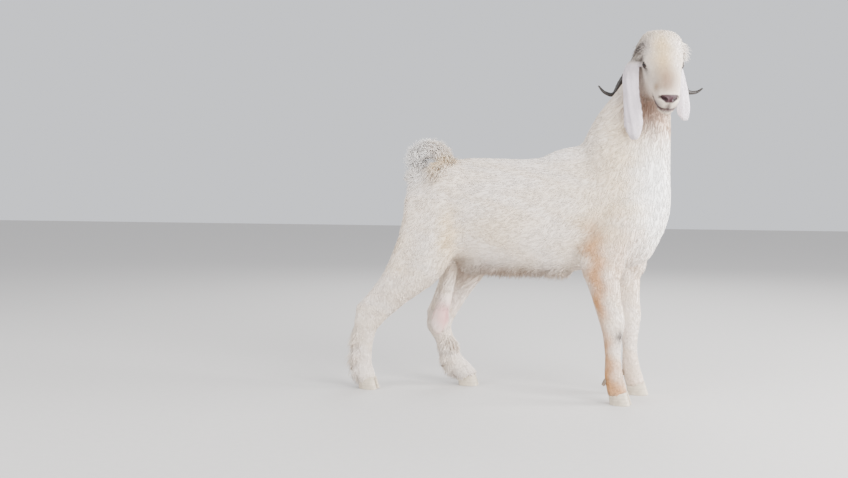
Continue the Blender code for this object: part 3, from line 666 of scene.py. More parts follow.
WHITE = colour(238, 226, 215)
BRIGHT = colour(253, 250, 247)
CREAM = colour(222, 194, 146)
TAN = colour(186, 132, 76)
BUFF = colour(160, 128, 96)
FAWN = colour(136, 106, 88)
LILAC = colour(236, 226, 236)
GREY = colour(150, 140, 138)
DARK = colour(44, 36, 36)
NOSE = colour(62, 40, 44)
PINK = colour(184, 112, 114)
SHADE = colour(150, 120, 94)

# Patches of colour: centre, reach along x, y and z, the colour, and how strong it is.
Patch = namedtuple("Patch", "at reach hue strength")


POUCH, POUCH_REACH = middle("scrotum", (0.5, 0.5, 0.24)), (0.050, 0.050, 0.058)


# Coloured places on the body, on both sides alike, and the brown behind the forelegs. The fawn on the
# neck under the jaw is painted shadow, and the white on the tail is painted light.
BODY_ROWS = (
    ("neck", 0.55, 0.8, 0.45, (0.12, 0.10, 0.16), CREAM, 0.55),
    ("neck", 0.70, 0.8, 0.10, (0.10, 0.08, 0.10), CREAM, 0.45),
    ("neck", 0.90, 0.45, 0.64, (0.035, 0.07, 0.045), TAN, 0.80),
    # Painted shadow: fawn on the neck's sides where the jaw shades them.
    ("neck", 0.72, 0.70, 0.77, (0.060, 0.08, 0.075), FAWN, 0.85),
    ("neck", 0.78, 0.70, 0.66, (0.035, 0.05, 0.040), FAWN, 0.70),
    ("chest", 0.35, 0.9, 0.45, (0.09, 0.08, 0.13), CREAM, 0.50),
    ("chest", 0.62, 0.9, 0.18, (0.05, 0.06, 0.11), TAN, 0.45),
    ("chest", 0.90, 0.4, 0.55, (0.07, 0.10, 0.17), BRIGHT, 0.95),
    ("neck", 0.80, 0.4, 0.25, (0.07, 0.09, 0.12), BRIGHT, 0.85),
    # Painted light: the tail is lightened to offset the shade among its locks.
    ("tail", 0.30, 0.2, 0.60, (0.09, 0.07, 0.09), BRIGHT, 0.80),
    ("barrel", 0.50, 0.4, 1.00, (0.25, 0.07, 0.05), BRIGHT, 0.60),
    ("barrel", 0.35, 0.9, 0.35, (0.12, 0.07, 0.08), CREAM, 0.30),
    ("barrel", 0.40, 0.3, -0.02, (0.20, 0.08, 0.030), SHADE, 0.90),
    ("hindquarters", 0.75, 0.9, 0.45, (0.04, 0.07, 0.12), CREAM, 0.75),
    ("hindquarters", 0.20, 0.8, 0.35, (0.06, 0.07, 0.10), CREAM, 0.30),
    ("hindquarters", 0.85, 0.4, 0.15, (0.08, 0.06, 0.05), SHADE, 0.45),
)
LEG_ROWS = (
    ("upper_leg_", 0.18, 1.80, (0.040, 0.06, 0.070), 0.85),
    ("upper_leg_", 0.26, 1.25, (0.038, 0.05, 0.075), 0.97),
    ("upper_leg_", 0.30, 0.60, (0.032, 0.05, 0.070), 0.95),
    ("cannon_", 0.18, 0.75, (0.026, 0.05, 0.070), 0.80),
    ("cannon_", 0.30, 0.30, (0.028, 0.05, 0.065), 0.90),
    ("cannon_", 0.50, 0.08, (0.050, 0.06, 0.045), 0.97),
    ("pastern_", 0.35, 0.40, (0.040, 0.06, 0.030), 0.90),
)


def body_patches():
    patches = []
    for name, x, y, z, reach, hue, strength in BODY_ROWS:
        for sign in (-1, 1):
            patches.append(Patch(middle(name, (x, 0.5 + 0.5 * y * sign, z)), reach, hue, strength))
    for leg, share in (("fore_right", 1.0), ("fore_left", 0.2)):
        for part, x, z, reach, strength in LEG_ROWS:
            patches.append(Patch(middle(part + leg, (x, 0.3, z)), reach, TAN, strength * share))
    patches.append(Patch(POUCH, POUCH_REACH, PINK, 0.92))
    patches.append(Patch(middle("tail", (0.85, 0.3, 0.45)), (0.045, 0.06, 0.050), CREAM, 0.90))
    patches.append(Patch(middle("tail", (0.62, 0.2, 0.52)), (0.014, 0.03, 0.016), SHADE, 0.9))
    return patches


# In the head's frame and shares: forehead, nose, cheeks, throat, eyes and the horns' roots. The fawn on
# the throat is painted shadow under the jaw.
HEAD_PATCHES = [Patch(*row) for row in (
    ((-0.07, -0.04, 0.30), (0.22, 0.12, 0.18), CREAM, 0.85),
    ((0.16, -0.05, 0.25), (0.20, 0.12, 0.16), CREAM, 0.90),
    ((0.38, -0.03, 0.18), (0.20, 0.15, 0.16), BUFF, 0.85),
    ((0.46, -0.03, 0.13), (0.09, 0.10, 0.09), FAWN, 0.55),
    ((0.43, -0.15, 0.07), (0.05, 0.04, 0.05), SHADE, 0.80),
    ((0.62, 0.0, -0.08), (0.06, 0.035, 0.07), NOSE, 0.85),
    ((0.56, -0.13, -0.08), (0.06, 0.06, 0.04), GREY, 0.80),
    ((0.56, 0.13, -0.08), (0.06, 0.06, 0.04), GREY, 0.80),
    # Painted shadow: the throat under the jaw, darkened with fawn.
    ((0.15, 0.10, -0.40), (0.30, 0.25, 0.12), FAWN, 0.75),
    ((0.15, -0.10, -0.40), (0.30, 0.25, 0.12), FAWN, 0.75),
    ((0.09, -0.24, 0.06), (0.085, 0.07, 0.045), DARK, 0.80),
    ((0.09, 0.24, 0.06), (0.085, 0.07, 0.045), DARK, 0.80),
    ((-0.06, -0.26, 0.09), (0.06, 0.06, 0.055), DARK, 0.75),
    ((-0.06, 0.26, 0.09), (0.05, 0.06, 0.050), DARK, 0.40),
    ((-0.26, -0.13, 0.24), (0.055, 0.05, 0.06), DARK, 0.80),
    ((-0.32, -0.20, 0.14), (0.060, 0.06, 0.07), DARK, 0.92),
    ((-0.22, -0.26, 0.14), (0.075, 0.07, 0.07), DARK, 0.95),
    ((-0.32, 0.20, 0.14), (0.050, 0.05, 0.06), DARK, 0.50),
    ((-0.14, -0.23, 0.25), (0.110, 0.07, 0.09), GREY, 0.75),
    ((-0.21, -0.25, 0.20), (0.060, 0.06, 0.07), DARK, 0.85),
)]
LIP_WIDTH, LIP_STAIN = 0.0056, 0.0085       # how far the bare skin and its colour go from the mouth
# Small marks on one side only: the right ear's upper edge and root, and the right knee.
SPOTS = [Patch(middle("ear_right", (0.52, 0.40, 0.975)), (0.030, 0.030, 0.013), DARK, 0.85),
         Patch(middle("ear_right", (0.56, 0.25, 0.86)), (0.034, 0.034, 0.032), GREY, 0.55),
         Patch(middle("cannon_fore_right", (0.80, 0.20, 0.90)), (0.016, 0.032, 0.020), DARK, 0.97)]
BODY_PATCHES = body_patches()


def blend(base, hue, share):
    return base + (hue - base) * share[:, None]


def within(points, at, reach):
    """1 at a patch's centre, falling away over its reach."""
    away = np.linalg.norm((points - np.array(at)) / np.array(reach), axis=1)
    return np.exp(-away ** 2)


def nose_pad(at):
    """The bare pad between the nostrils, 0 to 1, in the head's shares: broad above, narrow below."""
    x, y, z = at.T
    down_front = 0.72 * (x + 0.02) - 0.69 * (z - 0.062)
    half = np.interp(down_front, (0.39, 0.43, 0.47, 0.53), (0.085, 0.108, 0.100, 0.030))
    inside = smooth_step(down_front, 0.405, 0.425) * (1 - smooth_step(down_front, 0.505, 0.530))
    return inside * (1 - smooth_step(np.abs(y), half - 0.012, half + 0.012)) * (x > 0.45)


def markings_and_painted_shading(points):
    """The colour of the skin and of the hair that grows there, with painted shade and light in places,
    and how bare the skin is.
    """
    slow = np.sin(points @ np.array((7.0, 29.0, 41.0)))
    cloud = np.sin(points @ np.array((23.0, 31.0, 19.0)) + 2 * slow)
    wander = 0.010 * np.stack([np.sin(points[:, 2] * 70 + 1), np.sin(points[:, 0] * 63),
                               np.sin(points[:, 1] * 75 + points[:, 2] * 40)], 1)
    tint = np.broadcast_to(WHITE, points.shape).copy()
    tint = blend(tint, CREAM, 0.10 + 0.10 * cloud)
    for patch in BODY_PATCHES:
        tint = blend(tint, patch.hue, patch.strength * within(points + wander, patch.at, patch.reach))
    at = in_head(points)
    face = 1 - smooth_step(np.linalg.norm(at - np.array((0.08, 0, 0)), axis=1), 0.62, 0.75)
    ear = np.zeros(len(points))
    for side in SIDES:
        drop = ear_drop(points, side)
        leaf = ear_share(points, side) * smooth_step(drop, 0.04, 0.12)
        ear = np.maximum(ear, leaf)
        tint = blend(tint, LILAC, leaf * 0.85)
        tint = blend(tint, GREY, leaf * smooth_step(drop, 0.86, 1.0) * 0.45)
    for patch in HEAD_PATCHES:
        share = patch.strength * face * (1 - ear) * within(at, patch.at, patch.reach)
        tint = blend(tint, patch.hue, share)
    for spot in SPOTS:
        tint = blend(tint, spot.hue, spot.strength * within(points, spot.at, spot.reach))
    bare = np.zeros(len(points))
    for side in SIDES:
        place, _ = lid_place(points, side)
        near = eye_gap(points, side) < LIDS_REACH
        lid = near * (1 - smooth_step(place, 1.9, 4.4))
        tint = blend(tint, DARK, lid * 0.97)
        bare = np.maximum(bare, near * (1 - smooth_step(place, 1.3, 1.7)))
    pad = nose_pad(at)
    tint = blend(tint, NOSE, pad)
    mouth, on_lips = mouth_gap(at)
    lips = bump(mouth, LIP_WIDTH) * on_lips
    tint = blend(tint, NOSE, np.clip(bump(mouth, LIP_STAIN) * on_lips * 1.3, 0, 1) * 0.95)
    # Painted shade: the nostrils' openings darkened to near black.
    tint = blend(tint, DARK, np.clip(bump(nostril_gap(at), 0.0048) * 1.3, 0, 1))
    pouch = within(points, POUCH, POUCH_REACH)
    bare = np.maximum.reduce([bare, pad, np.clip(lips, 0, 1), smooth_step(pouch, 0.10, 0.35)])
    return tint, bare


def write_colour(mesh, tint, bare):
    layer = mesh.color_attributes.new("tint", "FLOAT_COLOR", "POINT")
    rgba = np.ones((len(tint), 4), np.float32)
    rgba[:, :3] = tint
    write(layer.data, "color", rgba)
    if bare is not None:
        add_attribute(mesh, "bare", "FLOAT", "value", bare)


# ---------------------------------------------------------------- the coat

COAT_LOCKS = 90000
LOCKS_A_PIECE = 12400       # 16 triangles each, so a piece stays under 200,000
RING_SHARES = (0.0, 0.36, 0.72, 1.0)
RING_WIDTHS = (0.75, 1.0, 0.62)
RING_HEIGHTS = (-0.3, 0.55, 1.0, 0.85)      # how far a lying lock's middle is up the coat's depth
PATCH_SIZE = 0.003
FLOOR_GAP = 0.002           # no lock hangs lower


def unwrapped_proxy(skin):
    """A thinned copy of the skin with an unwrap of its own shape, on which the locks' roots lie."""
    proxy = put_in_scene("proxy", skin.data.copy())
    thin = proxy.modifiers.new("thin", "DECIMATE")
    thin.ratio = 0.12
    thin.use_collapse_triangulate = True
    apply_modifiers(proxy)
    proxy.data.uv_layers.new(name="OFBake")
    bpy.context.view_layer.objects.active = proxy
    for obj in bpy.context.selected_objects:
        obj.select_set(False)
    proxy.select_set(True)
    bpy.ops.object.mode_set(mode="EDIT")
    bpy.ops.mesh.select_all(action="SELECT")
    bpy.ops.uv.smart_project(angle_limit=math.radians(66), island_margin=0.003)
    bpy.ops.object.mode_set(mode="OBJECT")
    return proxy


def pick_roots(proxy, count):
    """Roots spread over the skin by how many locks each place takes, with their unwrap places."""
    mesh = proxy.data
    triangles = triangles_of(mesh)
    places, _ = points_of(proxy)
    uv = read(mesh.uv_layers["OFBake"].data, "uv", 2).reshape(-1, 3, 2)
    corners = places[triangles]
    area = np.linalg.norm(np.cross(corners[:, 1] - corners[:, 0], corners[:, 2] - corners[:, 0]), axis=1)
    middles = corners.mean(1)
    measures, _ = coat_at(middles)
    _, bare = markings_and_painted_shading(middles)
    crowd = measures[:, 5] / (measures[:, 1] * measures[:, 2]) * (1 - 0.93 * bare)
    weight = area * crowd
    chosen = rng.choice(len(triangles), count, p=weight / weight.sum())
    a, b = rng.random((2, count, 1))
    flip = a + b > 1
    a, b = np.where(flip, 1 - a, a), np.where(flip, 1 - b, b)
    shares = np.stack([1 - a - b, a, b], 1)
    return (corners[chosen] * shares).sum(1), (uv[chosen] * shares).sum(1)


class Ground:
    """Finds the nearest place on the skin, with its smooth normal."""

    def __init__(self, skin):
        self.points, self.normals = points_of(skin)
        self.faces = triangles_of(skin.data)
        self.tree = BVHTree.FromPolygons(self.points.tolist(), self.faces.tolist(), all_triangles=True)

    def under(self, points):
        found = [self.tree.find_nearest(p) for p in points.tolist()]
        place = np.array([f[0] for f in found])
        face = self.faces[[f[2] for f in found]]
        return place, unit(self.normals[face].mean(1))


def grow(ground, roots, uv):
    """Every lock's rings: three corners at each of three places, then the tip."""
    root, normal = ground.under(roots)
    measures, lie = coat_at(root)
    depth, length, width, lift, clear = (measures[:, k] for k in range(5))
    depth, width, clear = depth / 1000, width / 1000, clear / 1000
    length = length / 1000 * rng.uniform(0.75, 1.2, len(root))
    width = width * rng.uniform(0.75, 1.2, len(root))
    lift = np.radians(lift * rng.uniform(0.5, 1.5, len(root)))
    stray = rng.normal(0, 0.13, (len(root), 3))
    lie = lie + stray
    lie = unit(lie - normal * (lie * normal).sum(1, keepdims=True))
    way = lie * np.cos(lift)[:, None] + normal * np.sin(lift)[:, None]
    loose = smooth_step(clear, 0.010, 0.030)[:, None]
    centre = root - normal * 0.0010
    rings, tip = [], None
    for k, share in enumerate(RING_SHARES):
        if k:
            step = length * (share - RING_SHARES[k - 1])
            centre = centre + way * step[:, None]
            place, up = ground.under(centre)
            height = ((centre - place) * up).sum(1)
            inside = height < 0
            lying = depth * RING_HEIGHTS[k]
            least = 0.25 * lying + 0.0002
            kept = np.clip(height, least, np.maximum(lying, 0.0004))
            held = place + up * np.where(inside, least, kept)[:, None]
            free = place + up * np.maximum(height, 0.0008)[:, None]
            centre = held * (1 - loose) + free * loose
            normal = unit(up * (1 - loose) + normal * loose)
            way = unit(way - up * (way * up).sum(1, keepdims=True) * (1 - loose) * 0.8)
            way = unit(way + loose * np.array((0, 0, -0.28)))
        if k == len(RING_SHARES) - 1:
            tip = centre
            break
        side = unit(np.cross(way, normal)) * (width * RING_WIDTHS[k] / 2)[:, None]
        ridge = normal * (width * RING_WIDTHS[k] * 0.20)[:, None]
        rings += [centre + side - ridge * 0.4, centre - side - ridge * 0.4, centre + ridge]
    corners = np.stack(rings + [tip], 1)
    corners[..., 2] = np.maximum(corners[..., 2], FLOOR_GAP)
    kept = clear_of_face(np.stack(rings[2::3] + [tip], 1))
    corners, root, uv = corners[kept], root[kept], uv[kept]
    tint, _ = markings_and_painted_shading(root)
    tone = np.clip(rng.normal(1.0, 0.035, len(root)), 0.88, 1.10)
    # Painted shade and light along each lock: darker at the root, deep in the coat, and a little lighter
    # at the tip.
    root_shade_tip_light = np.repeat((0.92, 0.98, 1.01), 3).tolist() + [1.02]
    shades = tint[:, None, :] * tone[:, None, None] * np.array(root_shade_tip_light)[None, :, None]
    return corners, shades, uv


def clear_of_face(middles):
    """Which locks keep off the eyes' openings, the nose pad, the nostrils and the line of the mouth."""
    count, each = middles.shape[:2]
    places = middles.reshape(-1, 3)
    crossing = np.zeros(len(places), bool)
    near = np.nonzero(head_share(places) > 0.5)[0]
    at = in_head(places[near])
    gap, on_lips = mouth_gap(at)
    found = (nose_pad(at) > 0.4) | (nostril_gap(at) < 0.003) | ((np.abs(gap) < 0.0028) & (on_lips > 0.5))
    for side in SIDES:
        found |= (eye_gap(places[near], side) < 1.5) & (lid_place(places[near], side)[0] < 1.25)
    crossing[near] = found
    return ~crossing.reshape(count, each).any(1)


def lock_faces():
    """A lock's faces by corner: a cap, two rings of three sides, and three at the tip."""
    faces = [(0, 2, 1)]
    for base in (0, 3):
        for a, b in ((0, 1), (1, 2), (2, 0)):
            faces.append((base + a, base + b, base + b + 3, base + a + 3))
    for a, b in ((6, 7), (7, 8), (8, 6)):
        faces.append((a, b, 9))
    return faces


def build_coat(corners, shades, uv, name, material):
    """One mesh of many locks."""
    count, each = corners.shape[:2]
    faces = lock_faces()
    pattern = np.array([c for face in faces for c in face])
    sizes = np.array([len(face) for face in faces])
    loops = (np.arange(count)[:, None] * each + pattern[None]).ravel()
    totals = np.tile(sizes, count)
    starts = np.concatenate([[0], np.cumsum(totals)[:-1]])
    mesh = bpy.data.meshes.new(name)
    mesh.vertices.add(count * each)
    write(mesh.vertices, "co", corners)
    mesh.loops.add(len(loops))
    write(mesh.loops, "vertex_index", loops, np.int32)
    mesh.polygons.add(len(totals))
    write(mesh.polygons, "loop_start", starts, np.int32)
    write(mesh.polygons, "loop_total", totals, np.int32)
    mesh.update(calc_edges=True)
    mesh.shade_smooth()
    write_colour(mesh, shades.reshape(-1, 3), None)
    column = np.append(np.tile((0.0, 0.5, 1.0), 3), 0.5)
    row = np.append(np.repeat(RING_SHARES[:3], 3), 1.0)
    offset = (np.stack([column, row], 1) - 0.5) * PATCH_SIZE
    flat = np.clip(uv[:, None, :] + offset[None], 0, 1)[:, pattern]
    layer = mesh.uv_layers.new(name="OFBake")
    write(layer.data, "uv", flat)
    mesh.materials.append(material)
    return put_in_scene(name, mesh)


# ---------------------------------------------------------------- materials

class Nodes:
    """A short way to lay out and join shader nodes in a material or a group."""

    def __init__(self, tree):
        self.tree = tree

    def add(self, kind, settings=(), **inputs):
        """A new node. An input goes by its name with _ for a space, or by its place as i0, i1..."""
        node = self.tree.nodes.new(kind)
        for key, value in dict(settings).items():
            setattr(node, key, value)
        return self.put(node, **inputs)

    def put(self, node, **inputs):
        for key, value in inputs.items():
            name = key.replace("_", " ")
            socket = node.inputs[name] if name in node.inputs else node.inputs[int(key[1:])]
            if isinstance(value, bpy.types.NodeSocket):
                self.tree.links.new(value, socket)
            else:
                socket.default_value = value
        return node

    def maths(self, operation, a, b=0.0):
        return self.add("ShaderNodeMath", {"operation": operation}, i0=a, i1=b).outputs[0]

    def mix(self, share, a, b):
        return self.add("ShaderNodeMix", {"data_type": "RGBA"}, i0=share, i6=a, i7=b).outputs[2]

    def mix_values(self, share, a, b):
        return self.add("ShaderNodeMix", {"data_type": "FLOAT"}, i0=share, i2=a, i3=b).outputs[0]

    def place(self):
        return self.add("ShaderNodeTexCoord").outputs["Object"]

    def attribute(self, name, output):
        return self.add("ShaderNodeAttribute", {"attribute_name": name}).outputs[output]

    def noise(self, settings=(), **inputs):
        return self.add("ShaderNodeTexNoise", settings, **inputs).outputs["Fac"]

    def spread(self, value, **ends):
        return self.add("ShaderNodeMapRange", Value=value, **ends).outputs[0]

    def step(self, value, low, high):
        return self.add("ShaderNodeMapRange", {"interpolation_type": "SMOOTHSTEP"}, Value=value,
                        From_Min=low, From_Max=high).outputs[0]


def grain_group():
    """Fine streaks that run with the coat, with a slower clouding: a value about 1 and a height."""
    tree = bpy.data.node_groups.new("hair_grain", "ShaderNodeTree")
    for name, value in (("Streaks", 420.0), ("Depth", 0.1)):
        socket = tree.interface.new_socket(name, in_out="INPUT", socket_type="NodeSocketFloat")
        socket.default_value = value
    for name in ("Tone", "Height"):
        tree.interface.new_socket(name, in_out="OUTPUT", socket_type="NodeSocketFloat")
    n = Nodes(tree)
    given = n.add("NodeGroupInput")
    place = n.place()
    along_body, down_legs = (
        n.noise(Vector=n.add("ShaderNodeMapping", Vector=place, Scale=scale).outputs[0],
                Scale=given.outputs["Streaks"], Detail=3.0, Roughness=0.6)
        for scale in ((0.16, 1.0, 0.45), (0.9, 1.0, 0.12)))
    low = n.add("ShaderNodeSeparateXYZ", Vector=place).outputs["Z"]
    on_legs = n.spread(low, From_Min=0.50, From_Max=0.38)
    streaks = n.mix_values(on_legs, along_body, down_legs)
    cloud = n.noise(Vector=place, Scale=26.0, Detail=3.0)
    both = n.maths("ADD", n.maths("SUBTRACT", streaks, 0.5), n.maths("SUBTRACT", cloud, 0.5))
    tone = n.maths("ADD", n.maths("MULTIPLY", both, given.outputs["Depth"]), 1.0)
    n.add("NodeGroupOutput", Tone=tone, Height=streaks)
    return tree


def new_material(name):
    material = bpy.data.materials.new(name)
    material.use_nodes = True
    tree = material.node_tree
    return material, Nodes(tree), tree.nodes["Principled BSDF"]


def tinted(n, grain, streaks, depth):
    """The mesh's own tint, varied by the grain."""
    tint = n.attribute("tint", "Color")
    group = n.add("ShaderNodeGroup", {"node_tree": grain}, Streaks=streaks, Depth=depth)
    scaled = n.add("ShaderNodeVectorMath", {"operation": "SCALE"}, i0=tint, Scale=group.outputs["Tone"])
    return scaled.outputs[0], group.outputs["Height"]


def skin_material(grain):
    material, n, shader = new_material("skin")
    hue, height = tinted(n, grain, 420.0, 0.16)
    bare = n.attribute("bare", "Fac")
    pebbles = n.add("ShaderNodeTexVoronoi", {"feature": "SMOOTH_F1"}, Vector=n.place(), Scale=520.0)
    relief = n.mix_values(bare, height, pebbles.outputs["Distance"])
    raised = n.add("ShaderNodeBump", Strength=0.55, Distance=0.0012, Height=relief)
    n.put(shader, Base_Color=hue, Roughness=n.spread(bare, To_Min=0.80, To_Max=0.42),
          Normal=raised.outputs[0], Specular_IOR_Level=0.30)
    return material


def coat_material(grain):
    material, n, shader = new_material("coat")
    hue, height = tinted(n, grain, 600.0, 0.14)
    raised = n.add("ShaderNodeBump", Strength=0.35, Distance=0.0008, Height=height)
    n.put(shader, Base_Color=hue, Roughness=0.72, Normal=raised.outputs[0],
          Specular_IOR_Level=0.25, Sheen_Weight=0.12)
    return material


def eye_material():
    """A dark amber iris with a level slot of a pupil, from the eyeball's own gaze map."""
    material, n, shader = new_material("eyeball")
    gaze = n.attribute("gaze", "Vector")
    parts = n.add("ShaderNodeSeparateXYZ", Vector=gaze)
    long, tall = parts.outputs["X"], parts.outputs["Y"]
    squares = n.maths("ADD", n.maths("MULTIPLY", long, long), n.maths("MULTIPLY", tall, tall))
    radius = n.maths("SQRT", squares)
    flat_long, flat_tall = n.maths("DIVIDE", long, 0.44), n.maths("DIVIDE", tall, 0.17)
    slot = n.maths("ADD", n.maths("POWER", n.maths("ABSOLUTE", flat_long), 4.0),
                   n.maths("POWER", n.maths("ABSOLUTE", flat_tall), 4.0))
    streak = n.noise(Vector=gaze, Scale=9.0, Detail=4.0)
    iris = n.mix(streak, (0.014, 0.008, 0.005, 1), (0.042, 0.022, 0.010, 1))
    iris = n.mix(n.step(slot, 0.75, 1.25), (0.004, 0.003, 0.004, 1), iris)
    rimmed = n.mix(n.step(radius, 0.62, 0.74), iris, (0.035, 0.024, 0.020, 1))
    whole = n.mix(n.step(radius, 0.76, 0.90), rimmed, (0.05, 0.035, 0.03, 1))
    n.put(shader, Base_Color=whole, Roughness=0.12, Specular_IOR_Level=0.15, Coat_Weight=0.45,
          Coat_Roughness=0.03)
    return material


def horn_material(name, dark, light, roughness, by_growth=False):
    """Horn in bands that run across its growth, or level with the floor, with fine scratches."""
    material, n, shader = new_material(name)
    place = n.place()
    band = n.attribute("grown", "Fac") if by_growth else \
        n.add("ShaderNodeSeparateXYZ", Vector=place).outputs["Z"]
    ripple = n.noise({"noise_dimensions": "1D"}, Scale=240.0, Detail=3.0, W=band)
    fine = n.noise(Vector=place, Scale=900.0, Detail=4.0)
    cloud = n.noise(Vector=place, Scale=70.0, Detail=4.0)
    share = n.maths("MULTIPLY", n.maths("ADD", ripple, cloud), 0.5)
    height = n.maths("ADD", n.maths("MULTIPLY", ripple, 0.8), n.maths("MULTIPLY", fine, 0.2))
    raised = n.add("ShaderNodeBump", Strength=0.6, Distance=0.0012, Height=height)
    rough = n.spread(fine, To_Min=roughness - 0.12, To_Max=roughness + 0.12)
    contrast = n.spread(share, From_Min=0.35, From_Max=0.65)
    n.put(shader, Base_Color=n.mix(contrast, (*dark, 1), (*light, 1)), Roughness=rough,
          Normal=raised.outputs[0])
    return material


# ---------------------------------------------------------------- eyes, horns and hooves

def build_eye(side, material):
    """The eyeball with a cornea that bulges a little along its gaze."""
    gaze, ahead, up = eye_axes(side)
    bm = bmesh.new()
    bmesh.ops.create_uvsphere(bm, u_segments=48, v_segments=32, radius=1)
    turn = Matrix([[ahead[k], up[k], gaze[k]] for k in range(3)]).to_4x4()
    for vert in bm.verts:
        if vert.co.z > 0.7:
            vert.co *= 1 + 0.03 * (vert.co.z - 0.7) / 0.3
    eye = new_object("eyeball_" + side, bm, material)
    points, _ = points_of(eye)
    level = np.cross(gaze, (0, 0, 1))
    tilt = math.atan2(level @ up, level @ ahead)
    turn_level = np.array(Matrix.Rotation(-tilt, 3, "Z"))
    points = points @ turn_level.T
    add_attribute(eye.data, "gaze", "FLOAT_VECTOR", "vector", points)
    eye.data.transform(Matrix.Translation(EYES[side]) @ turn @ Matrix.Scale(EYE_RADIUS, 4))
    if turn.determinant() < 0:
        eye.data.flip_normals()
    return finish_piece(eye, "eye", "eye_" + side)


# A horn's midline in the head's shares, seen on the left, and its radius in metres.
HORN = [(-0.30, 0.10, 0.20, 0.0150), (-0.33, 0.12, 0.19, 0.0150), (-0.42, 0.20, 0.05, 0.0146),
        (-0.44, 0.22, -0.09, 0.0135), (-0.43, 0.25, -0.22, 0.0123), (-0.38, 0.32, -0.36, 0.0111),
        (-0.28, 0.42, -0.49, 0.0098), (-0.18, 0.50, -0.59, 0.0083), (-0.19, 0.62, -0.57, 0.0060),
        (-0.23, 0.71, -0.49, 0.0027)]
# How far the left horn's last points stray from a mirror of the right one's.
LEFT_HORN_STRAY = [(-0.028, -0.025, 0.028), (-0.010, -0.034, 0.008), (0.017, -0.045, -0.014)]
HORN_RINGS = 26


def build_horn(side, material):
    """A horn in rings of growth that crowd towards its root."""
    rows = np.array(HORN)
    if side == "left":
        rows[-3:, :3] += LEFT_HORN_STRAY
    fine = spline(rows, 150)
    line = np.array([on_head(x, y * sign_of(side), z) for x, y, z in fine[:, :3]])
    grown = np.concatenate([[0], np.cumsum(np.linalg.norm(np.diff(line, axis=0), axis=1))])
    phase = (grown / grown[-1]) ** 0.85 * HORN_RINGS
    ridge = (0.5 - 0.5 * np.cos(2 * np.pi * phase)) ** 1.5
    ridge *= 1 - smooth_step(grown / grown[-1], 0.75, 0.95)
    radii = fine[:, 3] * (0.97 + 0.075 * ridge)
    bm = bmesh.new()
    tube(bm, line, radii, 20)
    bmesh.ops.recalc_face_normals(bm, faces=bm.faces)
    horn = new_object("horn_sheath_" + side, bm, material)
    points, _ = points_of(horn)
    nearest = np.linalg.norm(points[:, None] - line[None], axis=2).argmin(1)
    add_attribute(horn.data, "grown", "FLOAT", "value", grown[nearest])
    return finish_piece(horn, "horn", "horn_" + side)


def build_hoof(node, material):
    """A claw or dewclaw with its edges worn round."""
    bm = merged_copy(node)
    bmesh.ops.dissolve_limit(bm, angle_limit=math.radians(4), verts=bm.verts, edges=bm.edges)
    sharp = [e for e in bm.edges if len(e.link_faces) == 2 and e.calc_face_angle() > math.radians(25)]
    bmesh.ops.bevel(bm, geom=sharp, offset=0.0014, offset_type="OFFSET", affect="EDGES", segments=3,
                    profile=0.5, material=-1, clamp_overlap=True)
    bmesh.ops.triangulate(bm, faces=[f for f in bm.faces if len(f.verts) > 4])
    return finish_piece(new_object(node + "_worn", bm, material), "hoof", node)


# ---------------------------------------------------------------- the set

# The lamps: where they stand, how wide they are, and their power in watts.
LAMPS = (("key", (3.6, -2.7, 2.3), 3.0, 490), ("fill", (-3.2, -3.2, 2.4), 3.0, 170),
         ("rim", (-0.5, 3.8, 3.2), 2.6, 120), ("front", (4.3, 0.6, 1.3), 2.0, 420))
LAMPS_AIM = Vector((0, 0, 0.6))
CAMERA_LENS, CAMERA_PITCH, CAMERA_YAW = 46.9, 3.05, 18      # millimetres, degrees down, degrees round
CAMERA_AT = (0.9203, -3.9114, 0.777)


def build_set():
    bm = bmesh.new()
    bmesh.ops.create_grid(bm, x_segments=2, y_segments=2, size=14)
    floor = new_object("floor", bm)
    material, n, shader = new_material("pale_floor")
    speckle = n.noise(Vector=n.place(), Scale=38.0, Detail=5.0)
    n.put(shader, Base_Color=n.mix(speckle, (0.56, 0.54, 0.52, 1), (0.62, 0.60, 0.58, 1)),
          Roughness=0.85)
    floor.data.materials.append(material)

    world = bpy.data.worlds.new("studio")
    bpy.context.scene.world = world
    world.use_nodes = True
    sky = world.node_tree.nodes.get("Background") or world.node_tree.nodes.new("ShaderNodeBackground")
    sky.inputs["Color"].default_value = (0.93, 0.95, 1.0, 1)
    sky.inputs["Strength"].default_value = 1.0
    for name, at, size, power in LAMPS:
        light = bpy.data.lights.new(name, "AREA")
        light.size, light.energy = size, power
        lamp = put_in_scene(name, light)
        lamp.location = at
        lamp.rotation_euler = (LAMPS_AIM - Vector(at)).to_track_quat("-Z", "Y").to_euler()


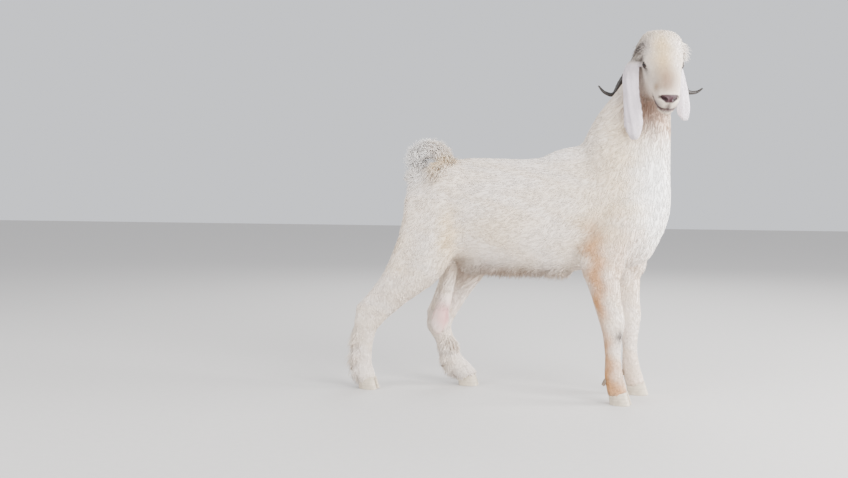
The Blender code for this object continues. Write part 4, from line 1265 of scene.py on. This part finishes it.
def build_camera():
    camera = bpy.data.cameras.new("camera")
    camera.lens, camera.sensor_width, camera.sensor_fit = CAMERA_LENS, 36.0, "HORIZONTAL"
    camera.clip_start, camera.clip_end = 0.05, 60
    obj = put_in_scene("camera", camera)
    obj.location = CAMERA_AT
    obj.rotation_euler = (math.radians(90 - CAMERA_PITCH), 0, math.radians(CAMERA_YAW))
    bpy.context.scene.camera = obj


# ---------------------------------------------------------------- putting it together

build_camera()
build_set()

GRAIN = grain_group()
SKIN, COAT = skin_material(GRAIN), coat_material(GRAIN)
HORN_DARK = horn_material("horn_dark", (0.012, 0.010, 0.009), (0.050, 0.041, 0.036), 0.42,
                          by_growth=True)
DEWCLAW_HORN = horn_material("dewclaw_horn", (0.12, 0.085, 0.06), (0.26, 0.19, 0.13), 0.55)
HOOF_HORN = horn_material("hoof_horn", (0.42, 0.35, 0.26), (0.66, 0.57, 0.44), 0.55)
EYEBALL = eye_material()

skin = build_skin()
thin_out(skin)
refine(skin, near_eyes)
refine(skin, near_eyes)
refine(skin, on_muzzle)
refine(skin, on_lips_and_nose)
points, normals = points_of(skin)
measures, _ = coat_at(points)
points = points - normals * measures[:, :1] / 1000
points = flute_ears(points)
points = carve_face(points, normals)
points = open_lids(points)
set_points(skin, points)
tint, bare = markings_and_painted_shading(points)
write_colour(skin.data, tint, bare)
skin.data.materials.append(SKIN)
SOFT_NODES = ["ear_left", "ear_right", "tail", "scrotum", "belly_fringe", "feather_hind_left",
              "feather_hind_right"]
finish_piece(skin, "coat", *FLESH, *SOFT_NODES)

proxy = unwrapped_proxy(skin)
roots, root_uv = pick_roots(proxy, COAT_LOCKS)
bpy.data.objects.remove(proxy)
ground = Ground(skin)
corners, shades, root_uv = grow(ground, roots, root_uv)
for k, start in enumerate(range(0, len(corners), LOCKS_A_PIECE)):
    part = slice(start, start + LOCKS_A_PIECE)
    coat = build_coat(corners[part], shades[part], root_uv[part], "coat_%d" % (k + 1), COAT)
    finish_piece(coat, "coat")

for side in SIDES:
    build_eye(side, EYEBALL)
    build_horn(side, HORN_DARK)
for leg in LEGS:
    for which in SIDES:
        build_hoof("claw_%s_%s" % (leg, which), HOOF_HORN)
        build_hoof("dewclaw_%s_%s" % (leg, which), DEWCLAW_HORN)
